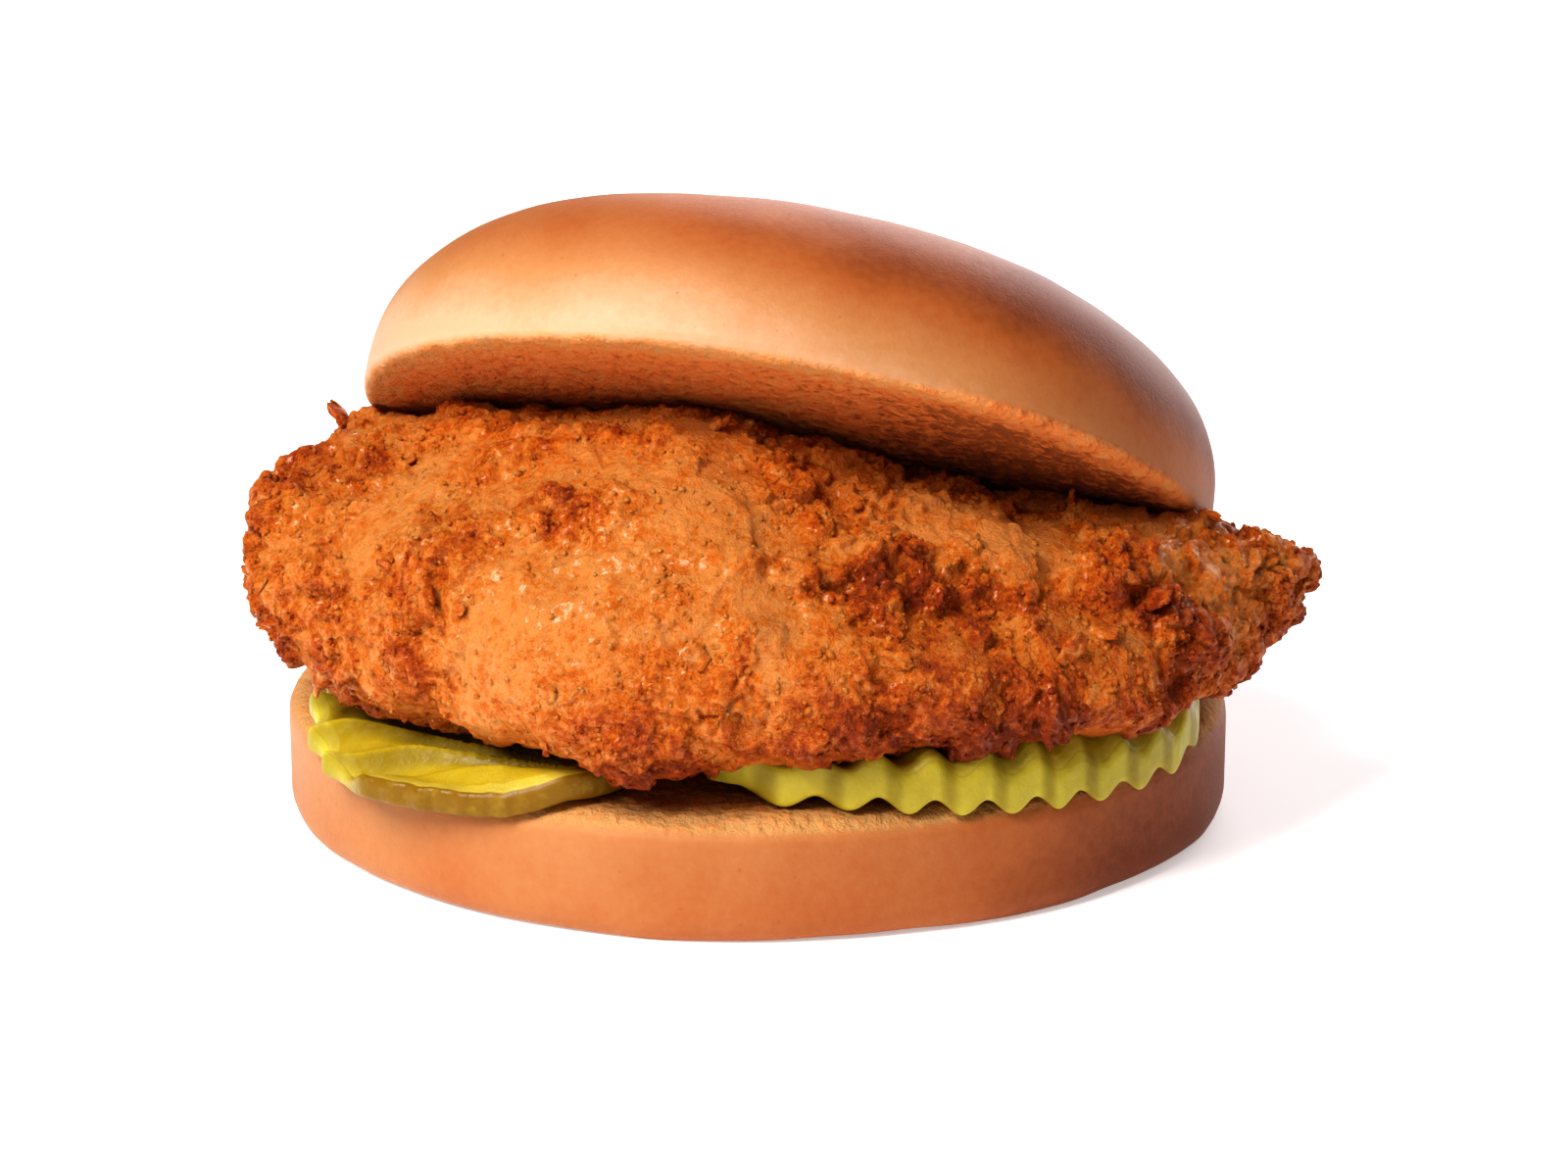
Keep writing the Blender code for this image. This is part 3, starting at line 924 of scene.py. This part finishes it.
def edge_folds(slice_, x, y):
    """Upright wrinkles in the skin near one place on a slice's front edge."""
    middle, reach, depth = slice_["folds"]
    near = math.exp(-(((x - middle) / reach) ** 2)) * smoothstep(-32.0, -38.0, y)
    return depth * near * (noise.noise(Vector((x / 1.5, 0.0, 3.0))) + 0.3)


def sag(slice_, x, y):
    """How far a slice droops where it reaches past the bun's edge."""
    return slice_["sag"] * smoothstep(*PICKLE_SAG_FROM_MM, math.hypot(x, y))


def pickle_levels(top_rows, rim_rows, under_rows):
    """Rows from the middle of the top over the rim to the middle underneath.

    Each is (share of the way to the rim, reach into the rim, level from -1 to 1).
    """
    rows = [(row / top_rows, 0.0, 1.0) for row in range(1, top_rows + 1)]
    for row in range(1, rim_rows):
        turn = math.pi / 2 * (1.0 - 2.0 * row / rim_rows)
        rows.append((1.0, math.cos(turn) ** 0.5, math.copysign(abs(math.sin(turn)) ** 0.62, math.sin(turn))))
    rows += [(row / under_rows, 0.0, -1.0) for row in range(under_rows, 0, -1)]
    return rows


def make_pickle(node, pickle):
    slice_ = PICKLES[node]
    centre_x, centre_y = slice_["centre"]
    floor = HEEL_TOP_MM + PICKLE_GAP_MM
    start, full_from, elsewhere = slice_["glassy"]
    rows = pickle_levels(*PICKLE_ROWS)
    points = []
    values = {"skin": [], "shaded": [], "glassy": []}

    def add(angle, inner, reach, level):
        full = oval_radius(slice_, angle)
        edge_x = centre_x + full * math.cos(angle)
        edge_y = centre_y + full * math.sin(angle)
        full += slice_["jut"] * (ridge_height(slice_, edge_x, edge_y) - 0.5)
        full += edge_folds(slice_, edge_x, edge_y)
        distance = (full - PICKLE_RIM_MM) * inner + PICKLE_RIM_MM * reach
        x = centre_x + distance * math.cos(angle)
        y = centre_y + distance * math.sin(angle)
        ridge = ridge_height(slice_, x, y)
        top = floor + slice_["thickness"] + slice_["wave"] * (ridge - slice_["crest_drop"])
        under = floor + slice_["under_wave"] * ridge
        height = 0.5 * (top + under) + 0.5 * (top - under) * level - sag(slice_, x, y)
        points.append(Vector((x, y, height + 0.05 * noise.noise(Vector((x, y, level)) / 1.7))))
        values["skin"].append(0.5 * smoothstep(0.96, 1.0, inner) + 0.5 * smoothstep(0.55, 0.98, reach))
        # Painted shade on one side of each ridge
        values["shaded"].append(ridge_shade(slice_, x, y))
        # Pale glassy skin towards one end, partly a painted highlight
        values["glassy"].append(elsewhere + (1.0 - elsewhere) * smoothstep(start, full_from, x))

    add(0.0, 0.0, 0.0, 1.0)
    for inner, reach, level in rows:
        for step in range(pickle.steps):
            add(math.tau * step / pickle.steps, inner, reach, level)
    add(0.0, 0.0, 0.0, -1.0)
    faces = [tuple(reversed(face)) for face in grid_faces(len(rows), pickle.steps)]
    add_piece(node + "_slice", points, faces, pickle_finish(pickle), node, values)


# ---------------------------------------------------------------- fillet


def plain_fillet(breading):
    """An even mesh of the fillet's plain form, rounded off, and twice as fine where the bun is open."""
    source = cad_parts["chicken_fillet"]
    copy = bpy.data.objects.new("fillet_form", source.data.copy())
    bpy.context.scene.collection.objects.link(copy)
    even = copy.modifiers.new("even_mesh", "REMESH")
    even.mode = "VOXEL"
    even.voxel_size = breading.mesh_spacing
    rounded = copy.modifiers.new("round_off", "SMOOTH")
    rounded.factor = 0.5
    rounded.iterations = 8
    mesh = bpy.data.meshes.new_from_object(copy.evaluated_get(bpy.context.evaluated_depsgraph_get()))
    bpy.data.objects.remove(copy, do_unlink=True)
    form = bmesh.new()
    form.from_mesh(mesh)
    bpy.data.meshes.remove(mesh)
    form.normal_update()
    open_side = [vert.normal.dot(OPEN_WAY) > -0.1 and vert.normal.z > -0.8 for vert in form.verts]
    edges = [edge for edge in form.edges if all(open_side[vert.index] for vert in edge.verts)]
    bmesh.ops.subdivide_edges(form, edges=edges, cuts=1, use_grid_fill=True)
    form.normal_update()
    return form


def neighbours_tree(names):
    """The surfaces that the breading must stay clear of, as one search tree."""
    points = []
    faces = []
    for name in names:
        mesh = bpy.data.objects[name].data
        start = len(points)
        points += [vert.co.copy() for vert in mesh.vertices]
        faces += [[start + index for index in polygon.vertices] for polygon in mesh.polygons]
    return BVHTree.FromPolygons(points, faces)


def place_shares(point):
    """Totals of the named places at a point: craggy, browned and stands out."""
    craggy = browned = swell = 0.0
    for x, y, z, reach, more_craggy, more_browned, stands_out in FILLET_PLACES_MM:
        near = (point.x - x) ** 2 + (point.y - y) ** 2 + (point.z - z) ** 2
        if near > 9.0 * reach * reach:
            continue
        share = math.exp(-0.5 * near / (reach * reach))
        craggy += share * more_craggy
        browned += share * more_browned
        swell += share * stands_out
    return craggy, browned, swell


def folded_ledge(point):
    """The fold across the right part of the fillet: (its height in millimetres, the crease under it)."""
    across = smoothstep(-3.0, 6.0, point.x) * smoothstep(50.0, 42.0, point.x)
    across *= smoothstep(-20.0, -27.0, point.y)
    line = 39.3 - 0.14 * point.x + 1.6 * noise.noise(point / 5.0) + 0.7 * noise.noise(point / 2.0)
    over = point.z - line
    step = (smoothstep(-0.5, 0.7, over) - 0.45) * math.exp(-((over / 5.0) ** 2))
    crease = math.exp(-(((over + 1.0) / 1.1) ** 2))
    return 1.7 * across * step, across * crease


def bump_edge(value, middle):
    """1 where a value passes its middle, and 0 away from there."""
    return math.exp(-(((value - middle) / 0.06) ** 2))


def knobs(place):
    """Rounded knobs one unit apart, from 0 between them to 1 on top."""
    return max(0.0, 1.0 - (noise.voronoi(place)[0][0] / 0.72) ** 2)


def breading_relief(point):
    """(height in millimetres, toast and painted shade from 0 to 1) of the breading over the meat at a point.
    """
    more_craggy, more_browned, swell = place_shares(point)
    ledge, crease = folded_ledge(point)
    craggy = 0.50 + 0.60 * noise.noise(point / 9.0 + Vector((3.0, 0.0, 0.0))) + more_craggy
    craggy = min(1.3, max(0.08, craggy))
    bent = point + noise.noise_vector(point / 4.5) * 1.6 + noise.noise_vector(point / 1.5) * 0.5

    # Where on the fillet: hanging low in front, the right part, the left part
    low = smoothstep(28.0, 20.0, point.z) * smoothstep(-15.0, -25.0, point.y)
    right = smoothstep(-5.0, 10.0, point.x) * smoothstep(52.0, 38.0, point.x)
    left = smoothstep(-15.0, -28.0, point.x)

    # Raised patches of breading in two sizes, with knobs in two sizes over them
    patch = noise.noise(bent / 5.0 + Vector((0.0, 9.0, 0.0))) + 0.35 * (craggy - 0.50)
    small_patch = noise.noise(bent / 2.3 + Vector((5.0, 0.0, 0.0))) + 0.35 * (craggy - 0.50)
    clump = smoothstep(-0.03, 0.07, patch)
    small_clump = smoothstep(-0.04, 0.07, small_patch)
    knob = knobs(bent / 1.5)
    small_knob = knobs(bent / 0.9)
    raised = 1.25 * clump + 0.80 * small_clump
    nubs = (0.30 + 0.50 * clump) * knob + 0.34 * small_knob + 0.40 * noise.noise(bent / 0.9)
    broad = noise.noise(point / 13.0) + 0.7 * noise.noise(point / 6.0)
    broad += low * (1.0 + 1.5 * right + 0.8 * left)
    height = broad + swell + ledge + (0.10 + 0.98 * craggy) * (raised + nubs - 1.25)

    # Edges of patches fried longer; dips between knobs, creases and low parts are darker as painted shade
    edge = bump_edge(patch, 0.03) + 0.6 * bump_edge(small_patch, 0.02)
    sunk = 1.0 - 0.6 * knob - 0.4 * small_knob
    toast = 0.20 + 0.30 * (craggy - 0.50) + 0.38 * more_browned + 0.24 * crease
    toast += 0.24 * noise.noise(bent / 4.0)
    toast += (0.15 + craggy) * (0.12 * clump + 0.12 * small_clump + 0.16 * edge + 0.16 * (sunk - 0.5))
    # Painted shade: darker low down, and more so low on the right part
    toast += 0.36 * smoothstep(33.0, 20.0, point.z) * (1.0 - 0.5 * left)
    toast += 0.20 * right * smoothstep(39.0, 33.0, point.z)
    return height, min(1.0, max(0.0, toast))


def make_fillet(breading):
    noise.seed_set(breading.seed)
    form = plain_fillet(breading)
    around = neighbours_tree(NEIGHBOURS)
    gap = BREADING_GAP_MM * MM
    moved = []
    toasts = []
    for vert in form.verts:
        height, toast = breading_relief(vert.co / MM)
        direction = vert.normal if height > 0 else -vert.normal
        travel = abs(height) * breading.relief * MM
        if height > 0:
            hit = around.ray_cast(vert.co, direction, travel + gap)
            if hit[0] is not None:
                travel = max(0.0, hit[3] - gap)
        moved.append(vert.co + direction * travel)
        toasts.append(toast)
    for vert, place in zip(form.verts, moved):
        vert.co = place
    axes = {"use_axis_x": True, "use_axis_y": True, "use_axis_z": True}
    bmesh.ops.smooth_vert(form, verts=form.verts, factor=BREADING_SMOOTHING, **axes)
    points = [vert.co / MM for vert in form.verts]
    faces = [[vert.index for vert in face.verts] for face in form.faces]
    form.free()
    add_breading("fillet_breading", points, faces, toasts, breading, "chicken_fillet")


def add_breading(name, points, faces, toasts, breading, node=None):
    """A piece of breading, with how long each of its points fried and the painted shade on it."""
    add_piece(name, points, faces, breading_finish(breading), node, {"toast": toasts})


def mesh_numbers(items, name, kind=np.float64, width=1):
    """One number, or one row of them, for every item of a mesh."""
    numbers = np.empty(len(items) * width, dtype=kind)
    items.foreach_get(name, numbers)
    return numbers.reshape(-1, width) if width > 1 else numbers


def scattered_places(breading, count, seed, craggy_only):
    """Repeatable places on the breading's surface: (point in mm, normal, toast and painted shade)."""
    mesh = bpy.data.objects["fillet_breading"].data
    toast = mesh_numbers(mesh.attributes["toast"].data, "value", np.float32)
    centres = mesh_numbers(mesh.polygons, "center", width=3)
    normals = mesh_numbers(mesh.polygons, "normal", width=3)
    first_corner = mesh_numbers(mesh.polygons, "loop_start", np.int64)
    corners = mesh_numbers(mesh.loops, "vertex_index", np.int64)
    face_toast = toast[corners[first_corner]]
    weight = mesh_numbers(mesh.polygons, "area") * (normals[:, 2] > -0.75)
    if craggy_only:
        weight = weight * np.clip(face_toast - 0.16, 0.02, 0.5)
    else:
        weight = weight * np.clip(face_toast, 0.12, 0.5)
    generator = np.random.default_rng(breading.seed + seed)
    picks = generator.choice(len(weight), size=count, p=weight / weight.sum())
    around = neighbours_tree(NEIGHBOURS)
    places = []
    for pick in picks:
        centre = Vector(centres[pick])
        nearest = around.find_nearest(centre, LOOSE_GAP_MM * MM)
        if nearest[0] is None:
            places.append((centre / MM, Vector(normals[pick]).normalized(), float(face_toast[pick])))
    return places, generator


def surface_frame(normal, turn):
    """Axes of a loose piece on the surface: along, across and up."""
    side = Vector((1.0, 0.0, 0.0)) if abs(normal.x) < 0.9 else Vector((0.0, 1.0, 0.0))
    along = (side - normal * side.dot(normal)).normalized()
    along = Matrix.Rotation(turn, 3, normal) @ along
    return along, normal.cross(along).normalized(), normal


def flake_mesh(length, width, thick, tilt, cup, seed):
    """A ragged curled plate from its root at the origin: points in millimetres, and its quads."""
    columns, rows = 8, 7
    top = []
    bottom = []
    wander = Vector((seed * 3.7, seed * 1.9, seed * 5.3))
    for column in range(columns):
        u = column / (columns - 1)
        for row in range(rows):
            v = 2.0 * row / (rows - 1) - 1.0
            ragged = noise.noise(wander + Vector((u * 2.3, v * 1.4, 0.0)))
            half_width = width / 2 * (0.75 + 0.30 * math.sin(math.pi * u) + 0.5 * ragged)
            x = length * u * (1.0 + 0.22 * noise.noise(wander + Vector((v * 2.1, 7.0, 0.0))))
            y = v * half_width + 0.3 * ragged
            lift = x * math.tan(tilt) * (0.5 + 0.8 * u) + cup * v * v + 0.22 * ragged
            thickness = thick * (1.0 - 0.65 * u**3) * (1.0 - 0.6 * v**4)
            rough = 0.40 * noise.noise(wander + Vector((u * length / 1.1, v * width / 2.2, 2.0)))
            top.append(Vector((x, y, lift + thickness / 2 + rough)))
            bottom.append(Vector((x, y, lift - thickness / 2)))
    faces = []
    offset = len(top)
    for column in range(columns - 1):
        for row in range(rows - 1):
            a = column * rows + row
            quad = (a, a + rows, a + rows + 1, a + 1)
            faces.append(quad)
            faces.append(tuple(offset + index for index in reversed(quad)))
    rim = [column * rows for column in range(columns)]
    rim += [(columns - 1) * rows + row for row in range(1, rows)]
    rim += [column * rows + rows - 1 for column in range(columns - 2, -1, -1)]
    rim += [row for row in range(rows - 2, 0, -1)]
    for near, far in zip(rim, rim[1:] + rim[:1]):
        faces.append((far, near, near + offset, far + offset))
    return top + bottom, faces


def make_flakes(breading):
    """Raised flakes: a few large ones at their own places, and many small ones on craggy breading."""
    surface = neighbours_tree(["fillet_breading"])
    points = []
    faces = []
    toasts = []

    def add_flake(root, normal, turn, sizes, toast, seed):
        along, across, up = surface_frame(normal, turn)
        shape, quads = flake_mesh(*sizes, seed)
        start = len(points)
        for place in shape:
            points.append(root + along * place.x + across * place.y + up * (place.z - FLAKE_SUNK_MM))
            toasts.append(min(1.0, max(0.0, toast + 0.05 * place.x / sizes[0])))
        faces.extend([[start + index for index in quad] for quad in quads])

    for number, (x, y, z, length, width, turn, tilt) in enumerate(LARGE_FLAKES_MM):
        root, normal, _, _ = surface.find_nearest(Vector((x, y, z)) * MM)
        sizes = (length, width, LARGE_FLAKE_THICKNESS_MM, math.radians(tilt), LARGE_FLAKE_CURL_MM)
        add_flake(root / MM, normal, math.radians(turn), sizes, LARGE_FLAKE_TOAST, 100.0 + number)

    places, generator = scattered_places(breading, breading.flakes, 1, True)
    for number, (centre, normal, toast) in enumerate(places):
        size = float(np.clip(generator.lognormal(0.55, 0.35), 1.0, 3.4))
        sizes = (
            size,
            size * generator.uniform(0.5, 0.95),
            0.45 + 0.16 * size,
            generator.uniform(0.02, 0.30),
            generator.uniform(-0.25, 0.2),
        )
        # A flake takes the toast and painted shade of the breading under it, give or take a little
        browned = toast + generator.uniform(-0.15, 0.15)
        add_flake(centre, normal, generator.uniform(0.0, math.tau), sizes, browned, float(number))
    add_breading("fillet_flakes", points, faces, toasts, breading)


def make_crumbs(breading):
    """Irregular crumbs half sunk in the breading."""
    ball = bmesh.new()
    bmesh.ops.create_icosphere(ball, subdivisions=1, radius=1.0)
    shape = [vert.co.copy() for vert in ball.verts]
    triangles = [[vert.index for vert in face.verts] for face in ball.faces]
    ball.free()
    points = []
    faces = []
    toasts = []
    places, generator = scattered_places(breading, breading.crumbs, 2, False)
    for number, (centre, normal, toast) in enumerate(places):
        along, across, up = surface_frame(normal, generator.uniform(0.0, math.tau))
        size = float(np.clip(generator.lognormal(-1.50, 0.35), 0.10, 0.48))
        stretch = generator.uniform(0.75, 1.5)
        flat = generator.uniform(0.55, 0.95)
        wander = Vector((number * 0.37, number * 0.11, 0.0))
        start = len(points)
        for place in shape:
            swollen = place * size * (1.0 + 0.5 * noise.noise(place * 1.6 + wander))
            offset = along * swollen.x * stretch + across * swollen.y + up * (swollen.z * flat + 0.15 * size)
            points.append(centre + offset)
        toasts += [min(1.0, max(0.15, toast + generator.uniform(-0.14, 0.18)))] * len(shape)
        faces += [[start + index for index in triangle] for triangle in triangles]
    add_breading("fillet_crumbs", points, faces, toasts, breading)


# ---------------------------------------------------------------- stage


def make_floor(stage):
    """A wide pale disc that glows a little, as a lit table does."""
    disc = bmesh.new()
    bmesh.ops.create_circle(disc, cap_ends=True, segments=96, radius=FLOOR_RADIUS)
    mesh = bpy.data.meshes.new("floor")
    disc.to_mesh(mesh)
    disc.free()
    finish, tree, shader = new_finish("pale_floor")
    mottle = place_group(tree, mottle_group(), -2, 0, Size=0.2, Contrast=0.3)["Value"]
    paler = [min(1.0, part * 1.02) for part in stage.floor]
    feed(tree, shader.inputs["Base Color"], mix_colours(tree, 0, 0, mottle, stage.floor, paler))
    shader.inputs["Roughness"].default_value = 0.7
    shader.inputs["Specular IOR Level"].default_value = 0.2
    shader.inputs["Emission Color"].default_value = (1.0, 1.0, 1.0, 1.0)
    shader.inputs["Emission Strength"].default_value = FLOOR_GLOW
    mesh.materials.append(finish)
    floor = bpy.data.objects.new("floor", mesh)
    floor.location.z = -0.0001
    bpy.context.scene.collection.objects.link(floor)


def make_sky(stage):
    """White all round for the camera, and an even weak light for everything else."""
    world = bpy.data.worlds.new("studio")
    bpy.context.scene.world = world
    world.use_nodes = True
    tree = world.node_tree
    light = tree.nodes["Background"]
    light.inputs["Color"].default_value = (1.0, 1.0, 1.0, 1.0)
    path = add_node(tree, "ShaderNodeLightPath", -3, 0)
    strength = spread(tree, -1, 0, path.outputs["Is Camera Ray"], 0.0, 1.0, stage.sky, 1.0)
    feed(tree, light.inputs["Strength"], strength)


def add_softbox(name, power, side, height, distance, size, colour):
    """A square light at an angle left of the camera and an angle above the table."""
    lamp = bpy.data.lights.new(name, "AREA")
    lamp.energy = power
    lamp.size = size
    lamp.color = colour
    made = bpy.data.objects.new(name, lamp)
    side, height = math.radians(side), math.radians(height)
    away = Vector((-math.sin(side) * math.cos(height), -math.cos(side) * math.cos(height), math.sin(height)))
    made.location = VIEW_TARGET_MM * MM + away * distance
    made.rotation_euler = away.to_track_quat("Z", "Y").to_euler()
    bpy.context.scene.collection.objects.link(made)


def make_camera():
    lens = bpy.data.cameras.new("front_view")
    lens.lens = VIEW_LENS
    lens.sensor_width = 36.0
    lens.clip_start = 0.01
    camera = bpy.data.objects.new("front_view", lens)
    away = Vector((0.0, -math.cos(VIEW_ELEVATION), math.sin(VIEW_ELEVATION)))
    camera.location = VIEW_TARGET_MM * MM + away * VIEW_DISTANCE
    camera.rotation_euler = away.to_track_quat("Z", "Y").to_euler()
    bpy.context.scene.collection.objects.link(camera)
    bpy.context.scene.camera = camera


# ---------------------------------------------------------------- operators


class BURGER_OT_heel(bpy.types.Operator):
    """Makes the lower half of the bun"""

    bl_idname = "burger.heel"
    bl_label = "Heel"

    def execute(self, context):
        make_heel(context.scene.burger_bun)
        return {"FINISHED"}


class BURGER_OT_crown(bpy.types.Operator):
    """Makes the upper half of the bun"""

    bl_idname = "burger.crown"
    bl_label = "Crown"

    def execute(self, context):
        make_crown(context.scene.burger_bun)
        return {"FINISHED"}


class BURGER_OT_pickles(bpy.types.Operator):
    """Makes both pickle slices"""

    bl_idname = "burger.pickles"
    bl_label = "Pickle slices"

    def execute(self, context):
        for node in PICKLES:
            make_pickle(node, context.scene.burger_pickle)
        return {"FINISHED"}


class BURGER_OT_fillet(bpy.types.Operator):
    """Makes the breaded fillet; it needs the bun and the pickle slices, to stay clear of them"""

    bl_idname = "burger.fillet"
    bl_label = "Fillet"

    def execute(self, context):
        make_fillet(context.scene.burger_breading)
        return {"FINISHED"}


class BURGER_OT_loose_breading(bpy.types.Operator):
    """Makes the flakes and crumbs on the fillet"""

    bl_idname = "burger.loose_breading"
    bl_label = "Flakes and crumbs"

    def execute(self, context):
        make_flakes(context.scene.burger_breading)
        make_crumbs(context.scene.burger_breading)
        return {"FINISHED"}


class BURGER_OT_stage(bpy.types.Operator):
    """Makes the floor, the lights and the camera"""

    bl_idname = "burger.stage"
    bl_label = "Stage"

    def execute(self, context):
        stage = context.scene.burger_stage
        make_floor(stage)
        make_sky(stage)
        for name, (power, *rest) in SOFTBOXES.items():
            add_softbox(name, getattr(stage, power), *rest)
        make_camera()
        context.scene.view_settings.view_transform = "Standard"
        context.scene.view_settings.look = "High Contrast"
        return {"FINISHED"}


class BURGER_PT_sidebar(bpy.types.Panel):
    """Lists the burger's settings and the operators that build it"""

    bl_label = "Burger"
    bl_idname = "BURGER_PT_sidebar"
    bl_space_type = "VIEW_3D"
    bl_region_type = "UI"
    bl_category = "Burger"

    def draw(self, context):
        for group in SETTINGS:
            box = self.layout.box()
            settings = getattr(context.scene, group)
            for name in settings.__annotations__:
                box.prop(settings, name)
        for operator in OPERATORS:
            self.layout.operator(operator.bl_idname)


SETTINGS = {
    "burger_bun": BurgerBunSettings,
    "burger_pickle": BurgerPickleSettings,
    "burger_breading": BurgerBreadingSettings,
    "burger_stage": BurgerStageSettings,
}
OPERATORS = (
    BURGER_OT_heel,
    BURGER_OT_crown,
    BURGER_OT_pickles,
    BURGER_OT_fillet,
    BURGER_OT_loose_breading,
    BURGER_OT_stage,
)


def register():
    for name, group in SETTINGS.items():
        bpy.utils.register_class(group)
        setattr(bpy.types.Scene, name, PointerProperty(type=group))
    for operator in OPERATORS:
        bpy.utils.register_class(operator)
    bpy.utils.register_class(BURGER_PT_sidebar)


def unregister():
    bpy.utils.unregister_class(BURGER_PT_sidebar)
    for operator in reversed(OPERATORS):
        bpy.utils.unregister_class(operator)
    for name, group in SETTINGS.items():
        delattr(bpy.types.Scene, name)
        bpy.utils.unregister_class(group)


def main():
    register()
    bpy.ops.burger.heel()
    bpy.ops.burger.crown()
    bpy.ops.burger.pickles()
    bpy.ops.burger.fillet()
    bpy.ops.burger.loose_breading()
    bpy.ops.burger.stage()


if __name__ == "__main__":
    main()
